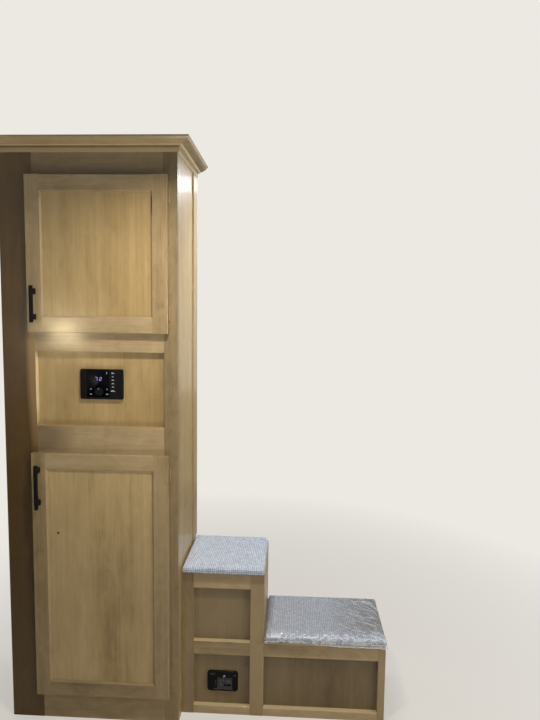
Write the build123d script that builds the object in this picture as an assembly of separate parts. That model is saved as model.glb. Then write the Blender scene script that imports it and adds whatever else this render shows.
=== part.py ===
"""Tall fitted cabinet with two panelled doors and a pair of padded steps, in millimetres.

The cabinet stands on the left, seen from the front, and the step unit is screwed to its right side.
+X is to the right, +Y is to the wall behind, +Z is up. The origin is on the floor, in the middle of
the whole unit's width and depth.
"""
import os

from build123d import *

# Cabinet: boards and depth
cabinet_depth = 370.0
board = 15.0
frame_thickness = 19.0
frame_ease = 1.5
dado_depth = 5.0
scribe_overhang = 76.0

# Cabinet: face frame, from left to right and from the floor up
stile_left_width = 129.5
door_opening_width = 499.5
stile_right_width = 53.0
rail_bottom_height = 130.0
lower_opening_height = 951.0
rail_lower_height = 125.0
bay_opening_height = 291.0
rail_upper_height = 93.0
upper_opening_height = 546.0
rail_top_height = 150.0

# Cabinet: back, shelves and the fixed bay
back_thickness = 6.0
back_recess = 19.0
nailer_height = 90.0
bay_panel_thickness = 6.0
bay_panel_lap = 20.0
shelf_setback = 6.0
shelf_side_play = 1.0
shelf_back_play = 2.0
upper_shelf_count = 1
lower_shelf_count = 2
peg_radius = 2.5
peg_length = 9.0
peg_inset = 45.0

# Doors
door_thickness = 19.0
door_overlay = 19.5
door_gap = 2.8
member_flat = 57.0
sticking_width = 6.0
sticking_depth = 5.0
door_edge_bevel = 2.0
groove_depth = 9.0
groove_width = 6.0
groove_back = 6.0
tongue_play = 0.5
panel_play = 0.15
panel_edge_gap = 1.5

# Pulls: square bar on two feet
grip_width = 13.0
grip_thickness = 8.0
grip_ease = 1.0
foot_height = 20.0
foot_width = 12.0
pull_reach = 29.0
pull_offset = 29.5
upper_pull_spacing = 96.0
upper_pull_length = 138.0
upper_pull_height = 106.0
lower_pull_spacing = 128.0
lower_pull_length = 174.0
lower_pull_drop = 128.5

# Butt hinges between the doors' backs and the right stile
leaf_thickness = 1.2
leaf_height = 51.0
leaf_width = 16.0
knuckle_radius = 2.5
knuckle_rise = 0.3
knuckle_gap = 0.25
hinge_side_gap = 0.5
pin_radius = 1.25
pin_play = 0.06
hinge_inset = 75.0

# Magnetic catches and their strike plates
catch_width = 12.0
catch_height = 42.0
catch_depth = 16.0
catch_gap = 0.3
strike_thickness = 1.5
strike_width = 10.0
strike_height = 32.0
catch_inset = 60.0

# Crown moulding: section sizes, out from the cabinet and up from its lower edge
crown_height = 47.0
crown_projection = 52.0
crown_band = 8.0
crown_band_height = 19.0
crown_edge_out = 18.0
crown_edge_height = 4.0
crown_sweep_out = 48.5
crown_sweep_up = 41.5
crown_fillet_height = 4.5

# Scribe strip on the cabinet's right side, against the wall
scribe_thickness = 5.0
scribe_width = 82.0

# Step unit: face frame from left to right and from the floor up
step_set_back = 57.0
step_stile_left_width = 50.0
tall_opening_width = 232.0
step_stile_centre_width = 56.0
low_opening_width = 464.0
step_stile_right_width = 29.0
step_rail_bottom_height = 35.0
low_opening_height = 223.0
step_rail_middle_height = 57.0
tall_opening_height = 225.0
step_rail_tall_top_height = 69.0
step_rail_low_top_height = 74.0
step_board = 12.0
step_top_board = 15.0
step_panel_thickness = 6.0
step_panel_lap = 12.0

# Padded treads
pad_thickness = 25.0
pad_overhang = 20.0
pad_side_gap = 1.5
pad_right_overhang = 4.0
pad_back_gap = 2.0
pad_seat_gap = 0.3
pad_nose_radius = 9.0
pad_corner_radius = 26.0
pad_small_radius = 10.0

# Control panel in the bay
control_width = 168.0
control_height = 117.0
control_depth = 12.0
control_corner = 6.0
control_edge = 2.5
control_lift = 20.0
control_shift = 3.75
screen_width = 88.0
screen_height = 104.0
screen_depth = 1.5
screen_shift = -13.0
screen_rise = 2.5
dial_radius = 16.5
dial_depth = 7.0
dial_edge = 1.2
dial_drop = 27.5
dial_shift = -9.5
button_spread = 63.0
button_rise = 20.0
button_drop = 1.0
button_width = 13.0
button_height = 7.0
button_depth = 2.0
button_corner = 2.5
button_edge = 0.6

# Outlet in the lower left step panel
outlet_width = 127.0
outlet_height = 87.0
outlet_depth = 7.0
outlet_corner = 12.0
outlet_edge = 2.5
outlet_shift = 3.0
outlet_drop = 12.0
insert_width = 92.0
insert_height = 62.0
insert_recess = 2.5
insert_proud = 1.0
jack_radius = 5.0
jack_depth = 5.0
jack_shift = 6.5
jack_rise = 25.5

# Screw holes to the wall behind
screw_hole_radius = 2.5
cabinet_screw_spacing = 406.0
step_screw_spacing = 152.0
step_screw_drop = 45.0

# Places worked out from the sizes
cabinet_width = stile_left_width + door_opening_width + stile_right_width
tall_step_width = step_stile_left_width + tall_opening_width + step_stile_centre_width
step_width = tall_step_width + low_opening_width + step_stile_right_width
door_reach = door_gap + door_thickness + pull_reach
front_reach = max(crown_projection, door_reach)

left_x = -(cabinet_width + step_width + pad_right_overhang) / 2
opening_x0 = left_x + stile_left_width
opening_x1 = opening_x0 + door_opening_width
seam_x = left_x + cabinet_width
inner_x0 = left_x + scribe_overhang + board
inner_x1 = seam_x - board

face_y = (front_reach - cabinet_depth) / 2
carcass_y = face_y + frame_thickness
wall_y = face_y + cabinet_depth
back_y1 = wall_y - back_recess
back_y0 = back_y1 - back_thickness
door_back_y = face_y - door_gap
door_face_y = door_back_y - door_thickness

lower_z0 = rail_bottom_height
lower_z1 = lower_z0 + lower_opening_height
bay_z0 = lower_z1 + rail_lower_height
bay_z1 = bay_z0 + bay_opening_height
upper_z0 = bay_z1 + rail_upper_height
upper_z1 = upper_z0 + upper_opening_height
cabinet_height = upper_z1 + rail_top_height
crown_z = cabinet_height - crown_height

door_x0 = opening_x0 - door_overlay
door_x1 = opening_x1 + door_overlay
hinge_x = door_x1 + knuckle_radius + hinge_side_gap
hinge_y = face_y - knuckle_radius - knuckle_rise

step_face_y = face_y + step_set_back
step_carcass_y = step_face_y + frame_thickness
tall_x1 = seam_x + tall_step_width
step_x1 = seam_x + step_width
tall_opening_x0 = seam_x + step_stile_left_width
tall_opening_x1 = tall_opening_x0 + tall_opening_width
low_opening_x1 = step_x1 - step_stile_right_width
step_lower_z1 = step_rail_bottom_height + low_opening_height
step_upper_z0 = step_lower_z1 + step_rail_middle_height
step_upper_z1 = step_upper_z0 + tall_opening_height
tall_top_z = step_upper_z1 + step_rail_tall_top_height
low_top_z = step_lower_z1 + step_rail_low_top_height

# name, lowest z, highest z, height of the pull's middle, spacing of its feet, length of its grip
upper_door_z0 = upper_z0 - door_overlay
upper_door_z1 = upper_z1 + door_overlay
lower_door_z0 = lower_z0 - door_overlay
lower_door_z1 = lower_z1 + door_overlay
doors = [
    ("upper_door", upper_door_z0, upper_door_z1, upper_door_z0 + upper_pull_height,
     upper_pull_spacing, upper_pull_length),
    ("lower_door", lower_door_z0, lower_door_z1, lower_door_z1 - lower_pull_drop,
     lower_pull_spacing, lower_pull_length),
]
parts = {}


def block(x0, x1, y0, y1, z0, z1):
    """Box between two corners."""
    return Pos((x0 + x1) / 2, (y0 + y1) / 2, (z0 + z1) / 2) * Box(x1 - x0, y1 - y0, z1 - z0)


def rod(radius, start, end):
    """Round rod between two points."""
    run = Vector(*end) - Vector(*start)
    return extrude(Plane(origin=start, z_dir=run) * Circle(radius), amount=run.length)


def frame_member(x0, x1, front_y, z0, z1):
    """Face frame board with its long front edges eased."""
    blank = block(x0, x1, front_y, front_y + frame_thickness, z0, z1)
    along = Axis.Z if z1 - z0 > x1 - x0 else Axis.X
    return fillet(blank.edges().filter_by(along).group_by(Axis.Y)[0], frame_ease)


def rounded_plate(width, height, depth, corner, edge, centre_x, centre_z, back_plane_y):
    """Moulded plate that stands out from a wall plane, with round corners and a bevelled front edge."""
    outline = Plane(origin=(centre_x, back_plane_y, centre_z), x_dir=(1, 0, 0), z_dir=(0, -1, 0))
    plate = extrude(outline * RectangleRounded(width, height, corner), amount=depth)
    return chamfer(plate.faces().sort_by(Axis.Y)[0].edges(), edge)


def screw_holes(centre_x, spacing, z, y0, y1):
    """Two round holes along Y, side by side."""
    sides = [centre_x - spacing / 2, centre_x + spacing / 2]
    return [rod(screw_hole_radius, (x, y0, z), (x, y1, z)) for x in sides]


def build_face_frame():
    """Stiles that run from the floor to the ceiling, with four rails between them."""
    parts["stile_left"] = frame_member(left_x, opening_x0, face_y, 0, cabinet_height)
    parts["stile_right"] = frame_member(opening_x1, seam_x, face_y, 0, cabinet_height)
    rail_spans = [(0, lower_z0), (lower_z1, bay_z0), (bay_z1, upper_z0), (upper_z1, cabinet_height)]
    rails = [frame_member(opening_x0, opening_x1, face_y, z0, z1) for z0, z1 in rail_spans]
    parts["face_rails"] = Compound(children=rails)


def build_carcass():
    """Sides with dadoes for the boards, back with nailers behind it, bay panel and shelves."""
    levels = [top_z - board for top_z in (lower_z0, bay_z0, upper_z0, cabinet_height)]
    boards = [
        block(inner_x0 - dado_depth, inner_x1 + dado_depth, carcass_y, back_y0, z, z + board)
        for z in levels
    ]
    parts["floor_board"], parts["top_board"] = boards[0], boards[-1]
    parts["bay_boards"] = Compound(children=boards[1:3])

    sides = {
        "side_left": block(inner_x0 - board, inner_x0, carcass_y, wall_y, 0, cabinet_height),
        "side_right": block(inner_x1, seam_x, carcass_y, wall_y, 0, cabinet_height),
    }
    for name, side in sides.items():
        parts[name] = side - boards

    middle_x = (inner_x0 + inner_x1) / 2
    low_z, high_z = nailer_height / 2, cabinet_height - nailer_height / 2
    holes = [
        hole
        for z in (low_z, high_z)
        for hole in screw_holes(middle_x, cabinet_screw_spacing, z, back_y0 - board, wall_y + board)
    ]
    parts["back_panel"] = block(inner_x0, inner_x1, back_y0, back_y1, 0, cabinet_height) - holes
    nailers = [
        block(inner_x0, inner_x1, back_y1, wall_y, z - nailer_height / 2, z + nailer_height / 2) - holes
        for z in (low_z, high_z)
    ]
    parts["nailers"] = Compound(children=nailers)

    parts["bay_panel"] = block(
        opening_x0 - bay_panel_lap, opening_x1 + bay_panel_lap,
        carcass_y, carcass_y + bay_panel_thickness,
        bay_z0, bay_z1 + bay_panel_lap,
    )


def build_shelves():
    """Loose shelves on pegs, evenly spaced up each compartment's opening."""
    shelves, pegs = [], []
    spaces = [
        (upper_z0, upper_opening_height, upper_shelf_count),
        (lower_z0, lower_opening_height, lower_shelf_count),
    ]
    front_y, rear_y = carcass_y + shelf_setback, back_y0 - shelf_back_play
    for floor_z, height, count in spaces:
        for index in range(1, count + 1):
            z = floor_z + height * index / (count + 1)
            shelves.append(block(
                inner_x0 + shelf_side_play, inner_x1 - shelf_side_play, front_y, rear_y, z, z + board))
            for y in (front_y + peg_inset, rear_y - peg_inset):
                peg_z = z - peg_radius
                pegs.append(rod(peg_radius, (inner_x0, y, peg_z), (inner_x0 + peg_length, y, peg_z)))
                pegs.append(rod(peg_radius, (inner_x1 - peg_length, y, peg_z), (inner_x1, y, peg_z)))
    parts["shelves"] = Compound(children=shelves)
    parts["shelf_pegs"] = Compound(children=pegs)


def crown_section(plane):
    """Moulding section: local x runs out from the cabinet, local y runs up from the lower edge."""
    band_top = (crown_band, crown_band_height)
    edge_foot = (crown_edge_out, crown_band_height)
    edge_top = (crown_edge_out, crown_band_height + crown_edge_height)
    sweep_end = (crown_sweep_out, crown_sweep_up)
    fillet_foot = (crown_projection, crown_height - crown_fillet_height)
    with BuildSketch(plane) as section:
        with BuildLine():
            Polyline((0, crown_height), (0, 0), (crown_band, 0), band_top, edge_foot, edge_top)
            RadiusArc(edge_top, sweep_end, -crown_projection)
            Polyline(sweep_end, fillet_foot, (crown_projection, crown_height), (0, crown_height))
        make_face()
    return section.sketch


def build_crown():
    """Front length and right return, mitred where they meet at the cabinet's corner."""
    reach = crown_projection
    front_plan = make_face(Polyline(
        (left_x, face_y), (seam_x, face_y), (seam_x + reach, face_y - reach), (left_x, face_y - reach),
        close=True))
    return_plan = make_face(Polyline(
        (seam_x, face_y), (seam_x + reach, face_y - reach), (seam_x + reach, wall_y), (seam_x, wall_y),
        close=True))
    front_plane = Plane(origin=(left_x, face_y, crown_z), x_dir=(0, -1, 0), z_dir=(-1, 0, 0))
    return_plane = Plane(origin=(seam_x, wall_y, crown_z), x_dir=(1, 0, 0), z_dir=(0, -1, 0))
    front_run = extrude(crown_section(front_plane), amount=-(cabinet_width + reach))
    return_run = extrude(crown_section(return_plane), amount=cabinet_depth + reach)
    lift = Pos(0, 0, crown_z)
    parts["crown_front"] = front_run & extrude(lift * front_plan, amount=crown_height)
    parts["crown_return"] = return_run & extrude(lift * return_plan, amount=crown_height)
    parts["scribe_strip"] = block(
        seam_x, seam_x + scribe_thickness, wall_y - scribe_width, wall_y,
        tall_top_z + pad_thickness + pad_seat_gap * 2, crown_z)


def sticking_section():
    """Section of a door's frame member: x from its outer edge to the panel, y from back to front."""
    width = member_flat + sticking_width
    groove_front = groove_back + groove_width
    return make_face(Polyline(
        (0, 0),
        (0, door_thickness - door_edge_bevel),
        (door_edge_bevel, door_thickness),
        (member_flat, door_thickness),
        (width, door_thickness - sticking_depth),
        (width, groove_front),
        (width - groove_depth, groove_front),
        (width - groove_depth, groove_back),
        (width, groove_back),
        (width, 0),
        close=True))


def door_member(start, across, length):
    """Length of the door section from start, with across pointing from its outer edge to the panel."""
    along = Vector(*across).cross(Vector(0, -1, 0))
    return extrude(Plane(origin=start, x_dir=across, z_dir=along) * sticking_section(), amount=length)


def build_door(name, z0, z1, pull_z, spacing, grip_length):
    """Cope and stick frame round a flat panel, with its pull, hinge leaves and strike plate."""
    height, width = z1 - z0, door_x1 - door_x0
    inset = member_flat + sticking_width - groove_depth
    stiles = [
        door_member((door_x0, door_back_y, z1), (1, 0, 0), height),
        door_member((door_x1, door_back_y, z0), (-1, 0, 0), height),
    ]
    tongue = inset + tongue_play
    rail_length = width - 2 * tongue
    rails = [
        door_member((door_x0 + tongue, door_back_y, z0), (0, 0, 1), rail_length) - stiles,
        door_member((door_x1 - tongue, door_back_y, z1), (0, 0, -1), rail_length) - stiles,
    ]
    edge = inset + panel_edge_gap
    panel_y1 = door_back_y - groove_back - panel_play
    panel_y0 = door_back_y - groove_back - groove_width + panel_play
    parts[name + "_stiles"] = Compound(children=stiles)
    parts[name + "_rails"] = Compound(children=rails)
    parts[name + "_panel"] = block(
        door_x0 + edge, door_x1 - edge, panel_y0, panel_y1, z0 + edge, z1 - edge)

    pull_x = door_x0 + pull_offset
    front_y = door_face_y - pull_reach
    grip = block(pull_x - grip_width / 2, pull_x + grip_width / 2, front_y, front_y + grip_thickness,
                 pull_z - grip_length / 2, pull_z + grip_length / 2)
    grip = chamfer(grip.faces().sort_by(Axis.Y)[0].edges(), grip_ease)
    feet = [
        block(pull_x - foot_width / 2, pull_x + foot_width / 2, front_y + grip_thickness, door_face_y,
              z - foot_height / 2, z + foot_height / 2)
        for z in (pull_z - spacing / 2, pull_z + spacing / 2)
    ]
    parts[name + "_pull"] = grip + feet

    catch_z = z1 - catch_inset if pull_z > (z0 + z1) / 2 else z0 + catch_inset
    strike_x = opening_x0 + catch_width / 2
    parts[name + "_strike"] = block(
        strike_x - strike_width / 2, strike_x + strike_width / 2,
        door_back_y, door_back_y + strike_thickness,
        catch_z - strike_height / 2, catch_z + strike_height / 2)
    catch_y = door_back_y + strike_thickness + catch_gap
    catch = block(opening_x0, opening_x0 + catch_width, catch_y, catch_y + catch_depth,
                  catch_z - catch_height / 2, catch_z + catch_height / 2)

    door_leaves, frame_leaves = [], []
    for centre_z in (z0 + hinge_inset, z1 - hinge_inset):
        door_leaf, frame_leaf = build_hinge(centre_z)
        door_leaves.append(door_leaf)
        frame_leaves.append(frame_leaf)
    parts[name + "_hinge_leaves"] = Compound(children=door_leaves)
    return catch, frame_leaves


def build_hinge(centre_z):
    """Butt hinge: the door's leaf with the middle knuckle, the frame's with the outer two and the pin."""
    z0, z3 = centre_z - leaf_height / 2, centre_z + leaf_height / 2
    z1, z2 = z0 + leaf_height / 3, z3 - leaf_height / 3
    leaf_x1 = hinge_x - knuckle_radius - knuckle_rise
    leaf_x0 = hinge_x - leaf_width
    frame_y0 = face_y - leaf_thickness
    door_y1 = door_back_y + leaf_thickness

    def knuckle(low_z, high_z):
        return rod(knuckle_radius, (hinge_x, hinge_y, low_z), (hinge_x, hinge_y, high_z))

    frame_leaf = block(leaf_x0, leaf_x1, frame_y0, face_y, z0, z3)
    for low_z, high_z in ((z0, z1), (z2, z3)):
        frame_leaf += block(leaf_x1, hinge_x, frame_y0, face_y, low_z, high_z) + knuckle(low_z, high_z)
    frame_leaf += rod(pin_radius, (hinge_x, hinge_y, z0), (hinge_x, hinge_y, z3))

    low_z, high_z = z1 + knuckle_gap, z2 - knuckle_gap
    door_leaf = block(leaf_x0, leaf_x1, door_back_y, door_y1, z0, z3)
    door_leaf += block(leaf_x1, hinge_x, door_back_y, door_y1, low_z, high_z) + knuckle(low_z, high_z)
    door_leaf -= rod(pin_radius + pin_play, (hinge_x, hinge_y, z0), (hinge_x, hinge_y, z3))
    return door_leaf, frame_leaf


def build_doors():
    """Both doors, with the cabinet's own halves of their hinges and catches."""
    catches, leaves = [], []
    for row in doors:
        catch, frame_leaves = build_door(*row)
        catches.append(catch)
        leaves.extend(frame_leaves)
    parts["door_catches"] = Compound(children=catches)
    parts["frame_hinge_leaves"] = Compound(children=leaves)


def build_control_panel():
    """Moulded housing on the bay panel, with a glossy face let in, a dial and four buttons."""
    centre_x = (opening_x0 + opening_x1) / 2 + control_shift
    centre_z = (bay_z0 + bay_z1) / 2 + control_lift
    front_y = carcass_y - control_depth
    screen_x, screen_z = centre_x + screen_shift, centre_z + screen_rise
    screen = block(screen_x - screen_width / 2, screen_x + screen_width / 2,
                   front_y, front_y + screen_depth,
                   screen_z - screen_height / 2, screen_z + screen_height / 2)
    housing = rounded_plate(control_width, control_height, control_depth, control_corner,
                            control_edge, centre_x, centre_z, carcass_y)
    parts["control_housing"] = housing - screen
    parts["control_screen"] = screen

    dial_x, dial_z = centre_x + dial_shift, centre_z - dial_drop
    dial = rod(dial_radius, (dial_x, front_y, dial_z), (dial_x, front_y - dial_depth, dial_z))
    parts["control_dial"] = chamfer(dial.faces().sort_by(Axis.Y)[0].edges(), dial_edge)
    parts["control_buttons"] = Compound(children=[
        rounded_plate(button_width, button_height, button_depth, button_corner, button_edge,
                      dial_x + side * button_spread / 2, dial_z + lift, front_y)
        for side in (-1, 1)
        for lift in (button_rise / 2 - button_drop, -button_rise / 2 - button_drop)
    ])


def build_outlet():
    """Outlet plate on the lower left step panel, with its insert and a round jack."""
    centre_x = (tall_opening_x0 + tall_opening_x1) / 2 + outlet_shift
    centre_z = (step_rail_bottom_height + step_lower_z1) / 2 - outlet_drop
    front_y = step_carcass_y - outlet_depth
    plate = rounded_plate(outlet_width, outlet_height, outlet_depth, outlet_corner, outlet_edge,
                          centre_x, centre_z, step_carcass_y)
    recess = block(centre_x - insert_width / 2, centre_x + insert_width / 2,
                   front_y, front_y + insert_recess,
                   centre_z - insert_height / 2, centre_z + insert_height / 2)
    insert = block(centre_x - insert_width / 2, centre_x + insert_width / 2,
                   front_y - insert_proud, front_y + insert_recess,
                   centre_z - insert_height / 2, centre_z + insert_height / 2)
    jack_x, jack_z = centre_x + jack_shift, centre_z + jack_rise
    jack = rod(jack_radius, (jack_x, front_y - insert_proud - jack_depth, jack_z),
               (jack_x, front_y + insert_recess - 1, jack_z))
    parts["outlet_plate"] = plate - recess
    parts["outlet_insert"] = insert + jack


def build_step_frame():
    """Face frame of the step unit: three stiles with the rails of the tall and the low step between."""
    stile_spans = [
        (seam_x, tall_opening_x0, tall_top_z),
        (tall_opening_x1, tall_x1, tall_top_z),
        (low_opening_x1, step_x1, low_top_z),
    ]
    parts["step_stiles"] = Compound(children=[
        frame_member(x0, x1, step_face_y, 0, top_z) for x0, x1, top_z in stile_spans])
    tall, low = (tall_opening_x0, tall_opening_x1), (tall_x1, low_opening_x1)
    rail_spans = [
        (tall, 0, step_rail_bottom_height),
        (tall, step_lower_z1, step_upper_z0),
        (tall, step_upper_z1, tall_top_z),
        (low, 0, step_rail_bottom_height),
        (low, step_lower_z1, low_top_z),
    ]
    parts["step_rails"] = Compound(children=[
        frame_member(x0, x1, step_face_y, z0, z1) for (x0, x1), z0, z1 in rail_spans])


def build_step_box():
    """Boards behind the step unit's face frame: inset panels, sides, backs and tops."""
    riser_x = tall_x1 - step_board
    end_x = step_x1 - step_board
    tall_side_z = tall_top_z - step_top_board
    low_side_z = low_top_z - step_top_board
    side_spans = [
        (seam_x, seam_x + step_board, tall_side_z),
        (riser_x, tall_x1, tall_side_z),
        (end_x, step_x1, low_side_z),
    ]
    parts["step_sides"] = Compound(children=[
        block(x0, x1, step_carcass_y, wall_y, 0, top_z) for x0, x1, top_z in side_spans])

    lap = step_panel_lap
    panel_spans = [
        (tall_opening_x0 - lap, tall_opening_x1 + lap, step_rail_bottom_height, step_lower_z1),
        (tall_opening_x0 - lap, tall_opening_x1 + lap, step_upper_z0, step_upper_z1),
        (tall_x1, low_opening_x1 + lap, step_rail_bottom_height, step_lower_z1),
    ]
    parts["step_panels"] = Compound(children=[
        block(x0, x1, step_carcass_y, step_carcass_y + step_panel_thickness, z0 - lap, z1 + lap)
        for x0, x1, z0, z1 in panel_spans])

    back_spans = [
        ("step_back_tall", seam_x + step_board, riser_x, tall_side_z),
        ("step_back_low", tall_x1, end_x, low_side_z),
    ]
    for name, x0, x1, top_z in back_spans:
        holes = screw_holes((x0 + x1) / 2, step_screw_spacing, top_z - step_screw_drop,
                            wall_y - 2 * step_board, wall_y + step_board)
        parts[name] = block(x0, x1, wall_y - step_board, wall_y, 0, top_z) - holes

    parts["step_top_tall"] = block(seam_x, tall_x1, step_carcass_y, wall_y, tall_side_z, tall_top_z)
    parts["step_top_low"] = block(tall_x1, step_x1, step_carcass_y, wall_y, low_side_z, low_top_z)


def build_pad(x0, x1, seat_z, back_right_radius):
    """Padded tread with a rounded nose and rounded upright corners."""
    y0, y1 = step_face_y - pad_overhang, wall_y - pad_back_gap
    pad = block(x0, x1, y0, y1, seat_z + pad_seat_gap, seat_z + pad_seat_gap + pad_thickness)
    corner = pad.edges().filter_by(Axis.Z).sort_by(Axis.X)[-2:].sort_by(Axis.Y)[-1]
    pad = fillet(corner, back_right_radius)
    return fillet(pad.edges().filter_by(Axis.X).group_by(Axis.Y)[0], pad_nose_radius)


def build_pads():
    """One padded tread on each step."""
    parts["step_pad_tall"] = build_pad(
        seam_x + pad_side_gap, tall_x1 + pad_right_overhang, tall_top_z, pad_corner_radius)
    parts["step_pad_low"] = build_pad(
        tall_x1 + pad_side_gap, step_x1 + pad_right_overhang, low_top_z, pad_small_radius)


build_face_frame()
build_carcass()
build_shelves()
build_crown()
build_doors()
build_control_panel()
build_outlet()
build_step_frame()
build_step_box()
build_pads()

os.makedirs("parts", exist_ok=True)
for name, shape in parts.items():
    export_step(shape, f"parts/{name}.step")
print(len(parts), "nodes")
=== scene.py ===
"""Looks of the fitted wardrobe cabinet and its padded steps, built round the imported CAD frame.

Lengths are written in millimetres and turned to metres by mm() and point(). Each sub-assembly is a class that
finds its place from the CAD nodes it dresses, so a changed size in the CAD carries over.
"""
from __future__ import annotations

import logging
import math
from collections.abc import Iterable
from dataclasses import dataclass, replace
from enum import Enum
from functools import lru_cache

import bmesh
import bpy
from mathutils import Matrix, Vector, noise


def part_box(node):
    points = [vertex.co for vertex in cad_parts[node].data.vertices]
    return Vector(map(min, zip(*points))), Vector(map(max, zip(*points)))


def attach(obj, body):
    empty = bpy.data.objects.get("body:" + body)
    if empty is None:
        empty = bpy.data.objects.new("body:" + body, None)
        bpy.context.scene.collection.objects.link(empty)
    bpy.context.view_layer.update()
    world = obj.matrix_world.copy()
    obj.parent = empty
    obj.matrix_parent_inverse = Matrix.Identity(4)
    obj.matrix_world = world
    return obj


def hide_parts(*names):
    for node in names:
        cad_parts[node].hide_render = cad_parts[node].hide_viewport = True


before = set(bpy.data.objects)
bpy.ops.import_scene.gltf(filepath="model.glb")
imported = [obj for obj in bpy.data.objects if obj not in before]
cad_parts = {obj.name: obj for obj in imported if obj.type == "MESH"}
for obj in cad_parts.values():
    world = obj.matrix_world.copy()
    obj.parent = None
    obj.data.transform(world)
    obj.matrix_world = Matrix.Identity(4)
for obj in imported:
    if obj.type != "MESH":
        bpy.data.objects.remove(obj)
log = logging.getLogger("cabinet")

FORWARDS = Vector((0, -1, 0))
BACKWARDS = Vector((0, 1, 0))


class Axis(Enum):
    """Axis of the row frame."""

    X = 0
    Y = 1
    Z = 2


class Body(Enum):
    """CAD bodies that pieces ride on."""

    CABINET = "cabinet"
    UPPER = "upper_door"
    LOWER = "lower_door"


class Slot(Enum):
    """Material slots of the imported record."""

    MAPLE = "stained_maple"
    PANEL = "maple_panel"
    PLYWOOD = "birch_plywood"
    BLACK = "satin_black"
    ENAMEL = "tan_enamel"
    ZINC = "zinc_steel"
    CATCH = "catch_plastic"
    MOULDED = "black_plastic"
    GLOSS = "screen_gloss"
    FILM = "clear_film"
    MARKS = "printed_marks"
    BOUCLE = "boucle"


def mm(length: float) -> float:
    """Turns a length in millimetres to metres."""
    return length / 1000


def point(x: float, y: float, z: float) -> Vector:
    """Turns a point in millimetres to metres."""
    return Vector((x, y, z)) / 1000


def clamp(value: float, low: float = 0.0, high: float = 1.0) -> float:
    """Keeps a value between two limits."""
    return min(high, max(low, value))


def fade(distance: float, reach: float) -> float:
    """Falls from 1 at no distance, in metres, to 0 at the reach, in millimetres, and beyond."""
    return max(0.0, 1 - distance / mm(reach))


def fold(place: Vector, sharpness: float) -> float:
    """Noise folded up to a ridge, from 0 to 1, along the line where it crosses zero."""
    return max(0.0, 1 - abs(noise.noise(place)) * sharpness)


def aim(at: Vector, towards: Vector) -> Matrix:
    """Returns the matrix that moves a shape's foot to a point and turns its upright axis to a direction."""
    return Matrix.Translation(at) @ Vector((0, 0, 1)).rotation_difference(towards).to_matrix().to_4x4()


def linear(code: str) -> tuple[float, float, float, float]:
    """Turns an sRGB hex colour to the linear colour that Blender takes.

    Args:
        code: Colour such as "#b49a6c".

    Returns:
        Linear red, green, blue and an alpha of one.
    """
    parts = [int(code[i:i + 2], 16) / 255 for i in (1, 3, 5)]
    red, green, blue = (p / 12.92 if p <= 0.04045 else ((p + 0.055) / 1.055) ** 2.4 for p in parts)
    return red, green, blue, 1.0


def connect(tree: bpy.types.NodeTree, node: bpy.types.Node, sockets: dict[int | str, object]) -> None:
    """Gives a node's inputs their values and links.

    Inputs by number are, for Math and Vector Math, the operands; for Map Range, 0 the value, 1 and 2 the
    range that it comes from, 3 and 4 the range that it goes to; for Mix, 0 the share, 6 and 7 the colours.

    Args:
        tree: Node tree that holds it.
        node: Node that has the inputs.
        sockets: For an input's name or number, the value it gets or the output linked to it. A node stands
            for the first of its outputs that is in use.
    """
    for key, value in sockets.items():
        if isinstance(value, bpy.types.Node):
            value = next(output for output in value.outputs if output.enabled)
        if isinstance(value, bpy.types.NodeSocket):
            tree.links.new(value, node.inputs[key])
        else:
            node.inputs[key].default_value = value


def add_node(
    tree: bpy.types.NodeTree,
    kind: str,
    sockets: dict[int | str, object] | None = None,
    stops: Iterable[tuple[float, str]] = (),
    **settings: object,
) -> bpy.types.Node:
    """Adds a shader node with its settings and links.

    Args:
        tree: Node tree that gets it.
        kind: Blender's name of the node type, without "ShaderNode".
        sockets: What its inputs get, as connect() takes it.
        stops: Positions and colours of a colour ramp.
        settings: Other properties of the node.

    Returns:
        The new node.
    """
    node = tree.nodes.new("ShaderNode" + kind)
    for name, value in settings.items():
        setattr(node, name, value)
    for index, (position, code) in enumerate(stops):
        ramp = node.color_ramp
        stop = ramp.elements[index] if index < len(ramp.elements) else ramp.elements.new(position)
        stop.position, stop.color = position, linear(code)
    connect(tree, node, sockets or {})
    return node


def add_swing(tree: bpy.types.NodeTree, pattern: bpy.types.Node, share: float,
              total: bpy.types.Node | float) -> bpy.types.Node:
    """Adds a pattern's swing about its middle to a total.

    Args:
        tree: Node tree that gets the nodes.
        pattern: Pattern from 0 to 1.
        share: How much of its swing is added.
        total: Total so far.

    Returns:
        The new total.
    """
    swing = add_node(tree, "Math", {0: pattern, 1: 0.5}, operation="SUBTRACT")
    return add_node(tree, "Math", {0: swing, 1: share, 2: total}, operation="MULTIPLY_ADD")


def new_material(
    title: str, **uniform: object
) -> tuple[bpy.types.Material, bpy.types.NodeTree, bpy.types.Node]:
    """Starts a material with one Principled shader.

    Args:
        title: Name of the material.
        uniform: Values for the shader's sockets, with _ for a space in their names.

    Returns:
        The material, its node tree and its shader.
    """
    material = bpy.data.materials.new(title)
    material.use_nodes = True
    tree = material.node_tree
    shader = tree.nodes["Principled BSDF"]
    connect(tree, shader, {name.replace("_", " "): value for name, value in uniform.items()})
    return material, tree, shader


@dataclass(frozen=True)
class Finish:
    """What a surface is made of and how it was made."""

    title: str
    slot: Slot

    @lru_cache(maxsize=None)
    def material(self) -> bpy.types.Material:
        """Returns the finish's material, made once."""
        return self.make()

    def make(self) -> bpy.types.Material:
        """Returns a new material for the finish."""
        raise NotImplementedError


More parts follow.
